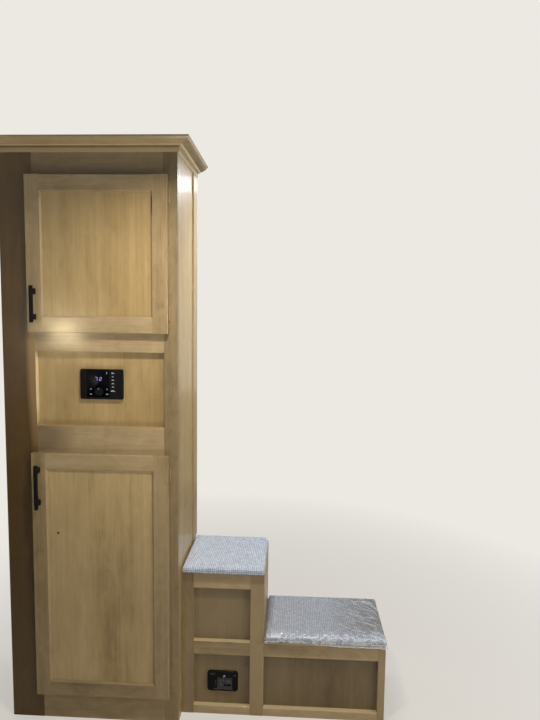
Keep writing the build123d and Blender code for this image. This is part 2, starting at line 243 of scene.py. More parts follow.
@dataclass(frozen=True)
class WoodMark:
    """Part of a board, bounded by an ellipsoid, painted darker or lighter; most are painted shade and
    highlights.

    Its centre and its half axes are in millimetres. It keeps its full depth out to the core, a share of the
    half axes, and has faded away at the rim.
    """

    centre: tuple[float, float, float]
    half_axes: tuple[float, float, float]
    code: str
    depth: float
    core: float = 0.55
    rim: float = 1.1


@dataclass(frozen=True)
class Wood(Finish):
    """Stained maple, as solid boards or sliced veneer, under satin lacquer.

    Maple is close and even: it shows soft streaks along the grain, blotches where the stain soaked in, and in
    veneer a slanting shimmer. Fibres are under a millimetre wide in the real wood. That is too fine for the
    render, so they are drawn 3.5 mm wide.
    """

    grain: Axis = Axis.Z
    tones: tuple[str, str, str, str] = ("#776547", "#9d8965", "#ae9a76", "#c0ad8a")
    blotch: float = 0.26
    shimmer: float = 0.0
    shimmer_slant: float = 38.0
    rough: tuple[float, float] = (0.34, 0.46)
    plies: Axis | None = None
    ply_mm: float = 1.6
    ply_tones: tuple[str, str] = ("#c4a878", "#8f7248")

    def scales(self, across_mm: float, along_mm: float) -> Vector:
        """Pattern scale for a mark that wide across the grain and that long along it.

        Args:
            across_mm: Width of one mark.
            along_mm: Length of one mark.

        Returns:
            Cycles per metre along X, Y and Z.
        """
        scale = Vector((1000 / across_mm,) * 3)
        scale[self.grain.value] = 1000 / along_mm
        return scale

    def make(self) -> bpy.types.Material:
        """Returns lacquered maple with its grain along the finish's axis."""
        material, tree, shader = new_material(
            f"{self.title} grain {self.grain.name.lower()}", IOR=1.5, Coat_Weight=0.4, Coat_Roughness=0.15,
            Specular_IOR_Level=0.36)
        place = add_node(tree, "TexCoord").outputs["Object"]
        # width and length of a mark in mm, detail, distortion, share of the colour
        layers = [
            (240, 1600, 1.0, 0.0, 0.38),
            (70, 1500, 1.0, 0.2, 0.18),
            (24, 900, 2.0, 0.2, 0.13),
            (8, 420, 2.0, 0.0, 0.11),
            (3.5, 90, 2.0, 0.0, 0.13),
            (48, 85, 4.0, 0.9, self.blotch),
        ]
        total: bpy.types.Node | float = 0.5
        for across, along, detail, bend, share in layers:
            spread = add_node(tree, "Mapping", {"Vector": place, "Scale": self.scales(across, along)})
            streaks = add_node(tree, "TexNoise", {
                "Vector": spread, "Scale": 1.0, "Detail": detail, "Roughness": 0.55, "Distortion": bend})
            total = add_swing(tree, streaks, share, total)
        if self.shimmer:
            # bands about 38 mm wide and 220 mm long, on a slant
            slant = (0.0, math.radians(self.shimmer_slant), 0.0)
            lean = add_node(tree, "Mapping", {
                "Vector": place, "Rotation": slant, "Scale": (26.0, 26.0, 4.5)})
            wave = add_node(tree, "TexNoise", {
                "Vector": lean, "Scale": 1.0, "Detail": 2.0, "Distortion": 0.6})
            total = add_swing(tree, wave, self.shimmer, total)
        colour = add_node(tree, "ValToRGB", {0: total}, stops=zip((0.30, 0.44, 0.55, 0.70), self.tones))
        colour = self.marks(tree, place, colour)
        if self.plies:
            colour = self.edges(tree, colour)
        smooth, dull = self.rough
        connect(tree, shader, {
            "Base Color": colour,
            "Roughness": add_node(tree, "MapRange", {0: total, 1: 0.3, 2: 0.7, 3: dull, 4: smooth}),
            "Normal": add_node(tree, "Bump", {"Strength": 0.16, "Distance": mm(0.4), "Height": total}),
        })
        return material

    def marks(self, tree: bpy.types.NodeTree, place: bpy.types.NodeSocket,
              colour: bpy.types.Node) -> bpy.types.Node:
        """Adds the marks listed for this wood: mostly painted shade and highlights, besides a streak, a patch
        and a knot.

        Args:
            tree: Node tree of the material.
            place: Object coordinates.
            colour: Colour before the marks.

        Returns:
            Colour after the marks.
        """
        for mark in WOOD_MARKS.get((self.title, self.grain), ()):
            near = add_node(tree, "Mapping", {"Vector": place, "Location": -point(*mark.centre)})
            sized = add_node(tree, "VectorMath", {
                0: near, 1: Vector(1000 / half for half in mark.half_axes)}, operation="MULTIPLY")
            reach = add_node(tree, "VectorMath", {0: sized}, operation="LENGTH")
            mask = add_node(tree, "MapRange", {0: reach, 1: mark.core, 2: mark.rim, 3: mark.depth, 4: 0.0})
            colour = add_node(tree, "Mix", {0: mask, 6: colour, 7: linear(mark.code)}, data_type="RGBA")
        return colour

    def edges(self, tree: bpy.types.NodeTree, colour: bpy.types.Node) -> bpy.types.Node:
        """Shows the plies on the board's cut edges.

        Args:
            tree: Node tree of the material.
            colour: Colour of the face veneer.

        Returns:
            Colour with striped edges.
        """
        source = add_node(tree, "TexCoord")
        axis = self.plies.name
        looks = add_node(tree, "SeparateXYZ", {0: source.outputs["Normal"]}).outputs[axis]
        tilt = add_node(tree, "Math", {0: looks}, operation="ABSOLUTE")
        on_edge = add_node(tree, "Math", {0: tilt, 1: 0.5}, operation="LESS_THAN")
        depth = add_node(tree, "SeparateXYZ", {0: source.outputs["Object"]}).outputs[axis]
        turns = add_node(tree, "Math", {0: depth, 1: math.pi * 1000 / self.ply_mm}, operation="MULTIPLY")
        wave = add_node(tree, "Math", {0: turns}, operation="SINE")
        layer = add_node(tree, "Math", {0: wave, 1: 0.0}, operation="GREATER_THAN")
        light, dark = (linear(code) for code in self.ply_tones)
        striped = add_node(tree, "Mix", {0: layer, 6: light, 7: dark}, data_type="RGBA")
        return add_node(tree, "Mix", {0: on_edge, 6: colour, 7: striped}, data_type="RGBA")


@dataclass(frozen=True)
class Coated(Finish):
    """Metal or plastic with an even surface: powder-coated, plated, moulded or polished."""

    code: str
    second: str
    rough: tuple[float, float]
    metal: float = 0.0
    grit_mm: float = 0.8
    cloud_mm: float = 1000 / 45
    bump: float = 0.08
    shine: float = 0.5
    ior: float = 1.5
    glow: float = 0.0

    def make(self) -> bpy.types.Material:
        """Returns an even surface with a faint mottle and a relief as fine as its grit."""
        material, tree, shader = new_material(
            self.title, Metallic=self.metal, IOR=self.ior, Specular_IOR_Level=self.shine)
        if self.glow:
            connect(tree, shader, {"Emission Color": linear(self.code), "Emission Strength": self.glow})
        place = add_node(tree, "TexCoord").outputs["Object"]
        cloud = add_node(tree, "TexNoise", {
            "Vector": place, "Scale": 1000 / self.cloud_mm, "Detail": 2.0})
        colours = {6: linear(self.code), 7: linear(self.second)}
        low, high = self.rough
        connect(tree, shader, {
            "Base Color": add_node(tree, "Mix", {0: cloud, **colours}, data_type="RGBA"),
            "Roughness": add_node(tree, "MapRange", {0: cloud, 1: 0.3, 2: 0.7, 3: low, 4: high}),
        })
        if self.bump:
            grit = add_node(tree, "TexNoise", {"Vector": place, "Scale": 1000 / self.grit_mm, "Detail": 2.0})
            relief = add_node(tree, "Bump", {"Strength": self.bump, "Distance": mm(0.2), "Height": grit})
            connect(tree, shader, {"Normal": relief})
        return material


@dataclass(frozen=True)
class Weave(Finish):
    """Coarse basket weave of looped yarn, in the piece's own UV map, which is in metres.

    Yarns are about 4 mm wide in the real fabric. That is a single pixel of the render, so they are drawn
    7.6 mm wide. Loops and slubs break the lines up, each crossing has its own tone, and stray fibres show as
    specks.
    """

    yarn_mm: float = 7.6
    sway_mm: float = 2.2
    relief_mm: float = 2.2
    tones: tuple[str, str, str, str] = ("#4d5866", "#919eb2", "#c2cfe2", "#e9f1fd")

    def make(self) -> bpy.types.Material:
        """Returns the woven fabric."""
        material, tree, shader = new_material(
            self.title, Sheen_Weight=0.35, Sheen_Roughness=0.5, Specular_IOR_Level=0.25)
        surface = add_node(tree, "UVMap", uv_map="weave")
        slub = add_node(tree, "TexNoise", {"Vector": surface, "Scale": 45.0, "Detail": 2.0})
        sway = add_node(tree, "VectorMath", {
            0: slub.outputs["Color"], 1: (0.5, 0.5, 0.5)}, operation="SUBTRACT")
        bent = add_node(tree, "VectorMath", {0: sway, "Scale": mm(self.sway_mm)}, operation="SCALE")
        laid = add_node(tree, "VectorMath", {0: surface, 1: bent}, operation="ADD")
        turns = math.pi * 1000 / self.yarn_mm
        waves = []
        for direction in ((turns, 0.0, 0.0), (0.0, turns, 0.0)):
            along = add_node(tree, "VectorMath", {0: laid, 1: direction}, operation="DOT_PRODUCT")
            waves.append(add_node(tree, "Math", {0: along}, operation="SINE"))
        over = add_node(tree, "Math", dict(enumerate(waves)), operation="MULTIPLY")
        ridge = add_node(tree, "Math", {0: over}, operation="ABSOLUTE")
        cells = add_node(tree, "VectorMath", {0: laid, "Scale": 1000 / self.yarn_mm}, operation="SCALE")
        cell = add_node(tree, "VectorMath", {0: cells}, operation="FLOOR")
        yarn = add_node(tree, "TexWhiteNoise", {0: cell}, noise_dimensions="2D")
        fluff = add_node(tree, "TexNoise", {
            "Vector": surface, "Scale": 420.0, "Detail": 3.0, "Roughness": 0.7})
        tone = add_node(tree, "Math", {0: ridge, 1: 0.50, 2: 0.24}, operation="MULTIPLY_ADD")
        tone = add_node(tree, "Math", {0: yarn, 1: 0.18, 2: tone}, operation="MULTIPLY_ADD")
        tone = add_swing(tree, fluff, 0.58, tone)
        colour = add_node(tree, "ValToRGB", {0: tone}, stops=zip((0.12, 0.34, 0.58, 0.85), self.tones))
        relief = {"Strength": 0.9, "Distance": mm(self.relief_mm), "Height": tone}
        connect(tree, shader, {
            "Base Color": colour,
            "Roughness": add_node(tree, "MapRange", {0: fluff, 3: 0.95, 4: 0.75}),
            "Normal": add_node(tree, "Bump", relief),
        })
        return material


@dataclass(frozen=True)
class Film(Finish):
    """Clear polyethylene film, shrunk on.

    It dulls the fabric, partly by its own haze and partly as painted shade, with more painted shade, warm,
    over the tread's right.
    Its creases are milky, partly whitened film and partly painted glints. The piece's own attributes say
    where.
    """

    haze_and_shade_code: str = "#8b8274"
    right_shade_code: str = "#6e6242"
    crease_glint_code: str = "#e4edfb"

    def make(self) -> bpy.types.Material:
        """Returns film that is nearly clear where flat and milky in its creases."""
        material, tree, shader = new_material(self.title, IOR=1.52, Coat_Weight=0.0, Specular_IOR_Level=0.9)
        place = add_node(tree, "TexCoord").outputs["Object"]
        crease_glint, right_shade = (
            add_node(tree, "Attribute", attribute_name=name).outputs["Fac"] for name in ("crease_glint", "right_shade"))
        # Painted shade: the flat film is tinted darker, and darker and warmer over the tread's right; the
        # milky creases are partly painted glints.
        dull = add_node(tree, "Mix", {
            0: right_shade, 6: linear(self.haze_and_shade_code), 7: linear(self.right_shade_code)}, data_type="RGBA")
        tint = add_node(tree, "Mix", {0: crease_glint, 6: dull, 7: linear(self.crease_glint_code)}, data_type="RGBA")
        fine = add_node(tree, "TexNoise", {"Vector": place, "Scale": 160.0, "Detail": 3.0, "Distortion": 0.8})
        mixed = add_node(tree, "Math", {0: crease_glint, 1: fine}, operation="MULTIPLY")
        clear = add_node(tree, "MapRange", {0: mixed, 1: 0.02, 2: 0.55, 3: 0.0, 4: 0.75})
        haze_and_shade = add_node(tree, "Math", {0: right_shade, 1: 0.27, 2: 0.18}, operation="MULTIPLY_ADD")
        connect(tree, shader, {
            "Base Color": tint,
            "Alpha": add_node(tree, "Math", {0: clear, 1: haze_and_shade}, operation="MAXIMUM"),
            "Roughness": add_node(tree, "MapRange", {0: fine, 3: 0.06, 4: 0.2}),
            "Normal": add_node(tree, "Bump", {"Strength": 0.5, "Distance": mm(1.2), "Height": fine}),
        })
        return material


@dataclass(frozen=True)
class Backdrop(Finish):
    """Pale studio floor that keeps the object's shadow and fades into the backdrop further out."""

    code: str = "#d9d5cd"
    second: str = "#dedad3"
    far_code: str = "#ece9e3"

    def make(self) -> bpy.types.Material:
        """Returns the floor's material."""
        material, tree, shader = new_material(self.title, Roughness=0.9, Specular_IOR_Level=0.1)
        place = add_node(tree, "TexCoord").outputs["Object"]
        mottle = add_node(tree, "TexNoise", {"Vector": place, "Scale": 3.0, "Detail": 4.0})
        colours = {6: linear(self.code), 7: linear(self.second)}
        near = add_node(tree, "Mix", {0: mottle, **colours}, data_type="RGBA")
        connect(tree, shader, {"Base Color": near})
        reach = add_node(tree, "VectorMath", {0: place}, operation="LENGTH")
        fades = add_node(tree, "MapRange", {0: reach, 1: 0.7, 2: 2.6, 3: 0.5, 4: 1.0})
        seen = add_node(tree, "LightPath").outputs["Is Camera Ray"]
        share = add_node(tree, "Math", {0: fades, 1: seen}, operation="MULTIPLY")
        far = add_node(tree, "Emission", {"Color": linear(self.far_code), "Strength": 1.0})
        blend = add_node(tree, "MixShader", {0: share, 1: shader, 2: far})
        connect(tree, tree.nodes["Material Output"], {"Surface": blend})
        return material


# Hard maple, planed, stained and lacquered: an even honey brown with a soft sheen. Its darker and lighter
# copies are painted shade and painted light.
MAPLE = Wood("Stained hard maple, lacquered", Slot.MAPLE)
# Maple in painted shade, for the right stile and the step stiles.
MAPLE_PAINTED_SHADE = replace(MAPLE, title="Stained hard maple, deeper board",
                 tones=("#695a3e", "#8b7a59", "#9b8968", "#ab9b7a"))
# Maple in painted light, for the step rails.
MAPLE_PAINTED_LIGHT = replace(MAPLE, title="Stained hard maple, lighter board",
                  tones=("#816e50", "#aa9571", "#bda783", "#d0bc99"))
# Maple in deep painted shade, for the left stile.
MAPLE_PAINTED_DEEP_SHADE = replace(MAPLE, title="Stained hard maple, heartwood board",
                    tones=("#423118", "#584424", "#624c2a", "#6d5732"))
# Sliced maple veneer: smoother than the boards, with a slanting shimmer. The lower door's sheet is lighter in
# tone.
VENEER = Wood("Stained maple veneer, lacquered", Slot.PANEL,
              tones=("#866f46", "#aa9263", "#b8a071", "#c8b283"), blotch=0.17, shimmer=0.20)
# The steps' sheet is darker, partly in tone and partly as painted shade.
STEP_VENEER_DARK_AND_SHADED = replace(VENEER, title="Stained maple veneer, darker sheet",
                      tones=("#625136", "#7e6c4c", "#8b7958", "#978664"))
LOWER_VENEER = replace(VENEER, title="Stained maple veneer, lighter sheet",
                       tones=("#8f7a51", "#b6a072", "#c5af82", "#d6c397"))
# Birch plywood, sanded and sealed without stain: pale yellow faces and striped edges.
PLYWOOD = Wood("Birch plywood, clear", Slot.PLYWOOD, tones=("#b08f60", "#cbb084", "#d9c19a", "#e4d0ad"),
               blotch=0.2, rough=(0.45, 0.6))
# Marks on the boards, mostly painted shade and painted highlights; each group says what it paints.
WOOD_MARKS: dict[tuple[str, Axis], tuple[WoodMark, ...]] = {
    (MAPLE.title, Axis.X): (
        # Painted shade on the top rail under the crown and on the left ends of the bay's two rails.
        WoodMark((-400, -156, 2185), (1000, 7.5, 85), "#4c3a27", 0.42),
        WoodMark((-660, -159, 1160), (180, 16, 90), "#4c3a27", 0.53),
        WoodMark((-650, -159, 1565), (90, 16, 60), "#4c3a27", 0.3),
        # Crown front: a painted shade line under the overhang, a lighter stripe low on the lower band, and a
        # painted highlight on the step's edge.
        WoodMark((-300, -170, 2257.4), (1200, 25, 1.4), "#3d2f1b", 0.5),
        WoodMark((-300, -168, 2244), (1200, 9, 10.5), "#d8c496", 0.5),
        WoodMark((-300, -178, 2260.6), (1200, 6, 2.6), "#e0cda2", 0.7),
    ),
    (MAPLE.title, Axis.Y): (
        # Crown return: painted highlights along three edges of the profile, and a painted shade line under
        # the overhang.
        WoodMark((-40, 25, 2239.6), (200, 400, 3.0), "#f0e3bf", 0.85),
        WoodMark((-40, 25, 2256.6), (200, 400, 1.4), "#3d2f1b", 0.45),
        WoodMark((-40, 25, 2260.4), (200, 400, 3.4), "#f0e3bf", 0.85),
        WoodMark((-40, 25, 2281.0), (200, 400, 3.0), "#f0e3bf", 0.8),
    ),
    (MAPLE.title, Axis.Z): (
        # A short dark streak by the upper door panel's right edge, and a darker patch near the door's right
        # edge.
        WoodMark((-168.4, -179, 2046), (3.2, 8, 47), "#382913", 0.95),
        WoodMark((-122, -179, 2010), (10, 20, 50), "#86693f", 0.35),
    ),
    (MAPLE_PAINTED_SHADE.title, Axis.Z): (
        # Painted shade under the crown on the right stile, and painted light on the step stiles in two
        # places.
        WoodMark((-100, -156, 2195), (80, 7.5, 85), "#4c3a27", 0.42),
        WoodMark((200, -95, 200), (110, 100, 500), "#b8a37c", 0.5),
        WoodMark((740, -95, 150), (110, 100, 500), "#b8a37c", 0.3),
    ),
    (MAPLE_PAINTED_DEEP_SHADE.title, Axis.Z): (
        # Painted light on the strip between the doors, out of the stile's deep painted shade, and a painted
        # highlight on the bay's left jamb.
        WoodMark((-634, -150, 1480), (34, 50, 420), "#a1855a", 0.85),
        WoodMark((-628, -150, 1375), (3.5, 50, 180), "#efe2bd", 0.75),
    ),
    (MAPLE_PAINTED_LIGHT.title, Axis.X): (
        # Painted highlights on the step rails' ledges at the foot of the panel recesses.
        WoodMark((340, -92, 35), (1000, 40, 1.8), "#e0d0a8", 0.62),
        WoodMark((340, -92, 315), (1000, 40, 1.8), "#e0d0a8", 0.62),
    ),
    (LOWER_VENEER.title, Axis.Z): (
        # A knot in the lower door's panel.
        WoodMark((-549, -173.6, 783), (5, 10, 6.5), "#33240f", 0.95),
    ),
    (STEP_VENEER_DARK_AND_SHADED.title, Axis.Z): (
        # Painted shade on the steps' right panel and painted light on the upper left one.
        WoodMark((640, -80, 140), (620, 100, 400), "#3a2d1a", 0.30),
        WoodMark((60, -80, 430), (220, 100, 130), "#a39274", 0.35),
    ),
}
# Satin powder coat over cast zinc: near black, with a broad dim highlight.
BLACK = Coated("Zinc pull, satin black powder coat", Slot.BLACK, "#060605", "#0b0a0a", rough=(0.42, 0.55),
               shine=0.18)
# Enamel baked on pressed steel: an even tan, a little shinier than the wood.
HINGE = Coated("Steel hinge, baked tan enamel", Slot.ENAMEL, "#a48b62", "#9a8058", rough=(0.35, 0.45),
               shine=0.4)
# Bright zinc plate on steel: pale grey metal with soft reflections.
ZINC = Coated("Steel, bright zinc plate", Slot.ZINC, "#b9bbbd", "#a3a6aa", metal=1.0, rough=(0.25, 0.38))
# Nylon moulded in its own colour: ivory and waxy.
CATCH = Coated("Moulded nylon, ivory", Slot.CATCH, "#d8d2c4", "#cfc8b8", rough=(0.42, 0.5), bump=0.03)
# ABS from an etched mould: black, with a fine grit that breaks the highlight up.
MOULDED = Coated("Moulded ABS, fine black texture", Slot.MOULDED, "#0d0e0f", "#131412", rough=(0.5, 0.6),
                 grit_mm=1.0, bump=0.2, shine=0.13)
# ABS from a polished mould: smooth black with a clear highlight.
POLISHED = Coated("Moulded ABS, polished black", Slot.MOULDED, "#040406", "#060608", rough=(0.2, 0.26),
                  bump=0.0, shine=0.16)
# Polycarbonate over a dark display: the blackest and glossiest surface.
GLOSS = Coated("Polycarbonate lens, gloss black", Slot.GLOSS, "#010104", "#020207", rough=(0.16, 0.22),
               bump=0.0, ior=1.58, shine=0.08)
# ABS moulded smooth in grey: it stands out from the black parts round it.
FLAP = Coated("Moulded ABS, smooth grey", Slot.MOULDED, "#2c3137", "#3a4047", rough=(0.22, 0.32),
              bump=0.03)
# Nickel plate on a turned ring: the brightest metal.
NICKEL = Coated("Steel contact ring, nickel plate", Slot.ZINC, "#c9cac8", "#b4b5b4", metal=1.0,
                rough=(0.15, 0.25))
# Ink printed by a soft pad: flat and dull, pale against the black.
INK = Coated("Pad-printed ink, pale blue grey", Slot.MARKS, "#a9b7c1", "#b8c4cd", rough=(0.5, 0.6), bump=0.0)
# Display segment lit from behind: it glows faintly.
DIGIT = Coated("Lit display segment, blue violet", Slot.MARKS, "#8386d8", "#8f92de", rough=(0.3, 0.4),
               bump=0.0, glow=0.75)
# Polyurethane cast in drops: pale, smooth and a little shiny.
BUMPER = Coated("Clear bumper, cast polyurethane", Slot.CATCH, "#c9c3b4", "#d3cdbf", rough=(0.3, 0.4),
                bump=0.02)
FABRIC = Weave("Looped basket weave, light grey", Slot.BOUCLE)
WRAP = Film("Clear polyethylene film", Slot.FILM)
FLOOR = Backdrop("Matt pale floor", Slot.MAPLE)


def add_object(name: str, bm: bmesh.types.BMesh, *finishes: Finish) -> bpy.types.Object:
    """Ends a bmesh as an object at the origin.

    Args:
        name: Name of the object and its mesh.
        bm: Its shape, which is freed.
        finishes: Finishes, in the order of its material slots.

    Returns:
        The new object.
    """
    mesh = bpy.data.meshes.new(name)
    bm.to_mesh(mesh)
    bm.free()
    for finish in finishes:
        mesh.materials.append(finish.material())
    thing = bpy.data.objects.new(name, mesh)
    bpy.context.scene.collection.objects.link(thing)
    return thing


def shade_smooth(mesh: bpy.types.Mesh) -> None:
    """Shades every face of a mesh smooth."""
    for face in mesh.polygons:
        face.use_smooth = True


def apply_modifiers(thing: bpy.types.Object) -> None:
    """Replaces an object's mesh by what its modifiers make of it, and removes them."""
    graph = bpy.context.evaluated_depsgraph_get()
    mesh = bpy.data.meshes.new_from_object(thing.evaluated_get(graph))
    thing.modifiers.clear()
    thing.data = mesh


def box_matrix(low: Vector, high: Vector) -> Matrix:
    """Returns the matrix that turns a unit cube into the box between two corners."""
    return Matrix.Translation((low + high) / 2) @ Matrix.Diagonal((*(high - low), 1))


def bevel(bm: bmesh.types.BMesh, edges: Iterable[bmesh.types.BMEdge], width: float, segments: int) -> None:
    """Rounds edges.

    Args:
        bm: Shape that has them.
        edges: The edges.
        width: Width of the rounding in millimetres.
        segments: Its number of facets.
    """
    bmesh.ops.bevel(bm, geom=list(edges), offset=mm(width), offset_type="OFFSET", segments=segments,
                    profile=0.5, affect="EDGES", material=-1)


class Workpiece:
    """One mesh under construction, from bmesh shapes in metres."""

    def __init__(self, name: str) -> None:
        """Starts an empty mesh.

        Args:
            name: Name that the finished object gets.
        """
        self.name = name
        self.bm = bmesh.new()
        self.finishes: list[Finish] = []

    def claim(self, known: set[bmesh.types.BMFace], finish: Finish) -> None:
        """Gives a finish to the faces that weren't there before.

        Args:
            known: Faces from before.
            finish: Finish of the new ones.
        """
        if finish not in self.finishes:
            self.finishes.append(finish)
        index = self.finishes.index(finish)
        for face in self.bm.faces:
            if face not in known:
                face.material_index = index

    def slab(self, low: Vector, high: Vector, finish: Finish, corner: float = 0.0, edge: float = 0.0,
             rounds: int = 3) -> None:
        """Adds a block with rounded corners and an eased rim on its front.

        Args:
            low: Lowest corner.
            high: Highest corner.
            finish: Its finish.
            corner: Radius of the four edges that run from front to back, in millimetres.
            edge: Width of the easing round the front face, in millimetres.
            rounds: Segments of the easing, half those of a corner.
        """
        known = set(self.bm.faces)
        made = bmesh.ops.create_cube(self.bm, size=1.0, matrix=box_matrix(low, high))["verts"]
        if corner:
            deep = {e for v in made for e in v.link_edges
                    if abs((e.verts[0].co - e.verts[1].co).normalized().y) > 0.99}
            bevel(self.bm, deep, corner, rounds * 2)
        self.bm.normal_update()
        if edge:
            fresh = [f for f in self.bm.faces if f not in known]
            front = max(fresh, key=lambda f: (round(-f.normal.y, 3), f.calc_area()))
            bevel(self.bm, front.edges, edge, rounds)
        self.claim(known, finish)

    def disc(self, at: Vector, towards: Vector, radius: float, segments: int, finish: Finish) -> None:
        """Adds a flat round face, such as a dark disc that is the painted shade of a bored hole.

        Args:
            at: Its centre.
            towards: Direction that it looks in.
            radius: Its radius in millimetres.
            segments: Sides of the round.
            finish: Its finish.
        """
        known = set(self.bm.faces)
        bmesh.ops.create_circle(self.bm, cap_ends=True, segments=segments, radius=mm(radius),
                                matrix=aim(at, towards))
        self.claim(known, finish)

    def turned(self, profile: Iterable[tuple[float, float]], at: Vector, towards: Vector, finish: Finish,
               steps: int) -> list[bmesh.types.BMVert]:
        """Adds a lathe-turned shape.

        Args:
            profile: Radius and height pairs, in millimetres, from the foot up.
            at: Where the foot's centre is.
            towards: Direction of the turning axis.
            finish: Its finish.
            steps: Sides of the round.

        Returns:
            The new vertices.
        """
        known, old = set(self.bm.faces), set(self.bm.verts)
        line = [self.bm.verts.new((mm(radius), 0.0, mm(height))) for radius, height in profile]
        edges = [self.bm.edges.new(pair) for pair in zip(line, line[1:])]
        bmesh.ops.spin(self.bm, geom=[*line, *edges], cent=(0, 0, 0), axis=(0, 0, 1), angle=math.tau,
                       steps=steps, use_merge=True)
        fresh = [v for v in self.bm.verts if v not in old]
        bmesh.ops.remove_doubles(self.bm, verts=fresh, dist=1e-6)
        fresh = [v for v in self.bm.verts if v not in old]
        bmesh.ops.transform(self.bm, matrix=aim(at, towards), verts=fresh)
        shell = [f for f in self.bm.faces if f not in known]
        bmesh.ops.recalc_face_normals(self.bm, faces=shell)
        self.claim(known, finish)
        return fresh

    def screw(self, at: Vector, towards: Vector, radius: float, finish: Finish, turn: float) -> None:
        """Adds a pan-head screw, its cross recess drawn as painted shade.

        Args:
            at: Centre of the head's underside.
            towards: Direction that the head looks in.
            radius: Radius of the head in millimetres.
            finish: Its finish.
            turn: How far the cross is turned, in radians.
        """
        high = radius * 0.45
        profile = [(0, 0), (radius, 0), (radius, high * 0.35), (radius * 0.8, high * 0.85),
                   (radius * 0.35, high), (0, high)]
        self.turned(profile, at, towards, finish, steps=14)
        place = aim(at + towards * mm(high + 0.02), towards)
        slot = Matrix.Diagonal((mm(radius), mm(radius * 0.2), mm(0.12), 1))
        # The cross recess is painted shade: two thin black bars laid on the head.
        for angle in (turn, turn + math.pi / 2):
            known = set(self.bm.faces)
            bmesh.ops.create_cube(self.bm, size=1.0, matrix=place @ Matrix.Rotation(angle, 4, "Z") @ slot)
            self.claim(known, MOULDED)

    def finish(self, body: Body, replaces: Iterable[str] = (), smooth_deg: float = 32.0) -> None:
        """Ends the mesh as an object that rides on its body.

        Args:
            body: CAD body that it moves with.
            replaces: CAD nodes that it stands for.
            smooth_deg: Angle above which an edge stays sharp.
        """
        thing = add_object(self.name, self.bm, *self.finishes)
        shade_smooth(thing.data)
        thing.data.set_sharp_from_angle(angle=math.radians(smooth_deg))
        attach(thing, body.value)
        if replaces:
            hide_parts(*replaces)
        log.info("piece %s: %d faces", self.name, len(thing.data.polygons))


def dress(finishes: dict[str, Finish]) -> None:
    """Gives CAD nodes their finishes.

    Args:
        finishes: Finish for each node's name.
    """
    for name, finish in finishes.items():
        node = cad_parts[name]
        if not node.material_slots:
            node.data.materials.append(None)
        for slot in node.material_slots:
            slot.link = "OBJECT"
            slot.material = finish.material()
        log.info("node %s: %s", name, finish.title)


@dataclass
class Casework:
    """Face frame, carcass, crown moulding and the step unit's boards: CAD nodes with their grain."""

    peg_hole_pitch: float = 32.0
    peg_hole_radius: float = 2.5
    peg_hole_lift: float = 0.2
    lower_margin: float = 100.0
    upper_margin: float = 60.0

    def build(self) -> None:
        """Dresses the boards, each with its grain along its length."""
        across, deep, up = Axis.X, Axis.Y, Axis.Z
        # Right stile and step stiles get maple in painted shade; the left stile, maple in deep painted shade;
        # the step rails, maple in painted light.
        dress({name: replace(MAPLE_PAINTED_SHADE, grain=up) for name in ("stile_right", "step_stiles")})
        dress({"stile_left": replace(MAPLE_PAINTED_DEEP_SHADE, grain=up), "step_rails": replace(MAPLE_PAINTED_LIGHT, grain=across)})
        dress({name: replace(MAPLE, grain=across) for name in ("face_rails", "crown_front")})
        dress({"crown_return": replace(MAPLE, grain=deep), "scribe_strip": replace(MAPLE, grain=up)})
        sides = ("side_left", "side_right", "step_sides")
        dress({name: replace(VENEER, grain=up, plies=across) for name in sides})
        # The steps' panels get darker veneer, partly painted shade.
        dress({"bay_panel": replace(VENEER, grain=up), "step_panels": replace(STEP_VENEER_DARK_AND_SHADED, grain=up)})
        boards = ("top_board", "floor_board", "bay_boards", "shelves", "step_top_tall", "step_top_low")
        dress({name: replace(PLYWOOD, grain=across, plies=up) for name in boards})
        backs = ("back_panel", "step_back_tall", "step_back_low")
        dress({name: replace(PLYWOOD, grain=up, plies=deep) for name in backs})
        dress({"nailers": replace(PLYWOOD, grain=across, plies=deep)})
        dress({"shelf_pegs": ZINC})
        self.build_peg_holes()

    def build_peg_holes(self) -> None:
        """Rows of bored holes for the shelf pegs, lined with shadow, on both sides inside."""
        piece = Workpiece("shelf_peg_holes")
        left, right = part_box("side_left")[1].x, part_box("side_right")[0].x
        pegs_low, pegs_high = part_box("shelf_pegs")
        radius, lift, pitch = (
            mm(size) for size in (self.peg_hole_radius, self.peg_hole_lift, self.peg_hole_pitch))
        rows = (pegs_low.y + radius, pegs_high.y - radius)
        sides = ((left + lift, Vector((1, 0, 0))), (right - lift, Vector((-1, 0, 0))))
        spans = (("lower_door_panel", self.lower_margin), ("upper_door_panel", self.upper_margin))
        for panel, margin in spans:
            low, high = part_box(panel)
            for step in range(int((high.z - low.z - 2 * mm(margin)) / pitch)):
                z = low.z + mm(margin) + step * pitch
                for y in rows:
                    for x, inwards in sides:
                        # Each hole is a black disc just off the side: painted shade, with no hole bored.
                        piece.disc(Vector((x, y, z)), inwards, self.peg_hole_radius, 10, MOULDED)
        piece.finish(Body.CABINET)


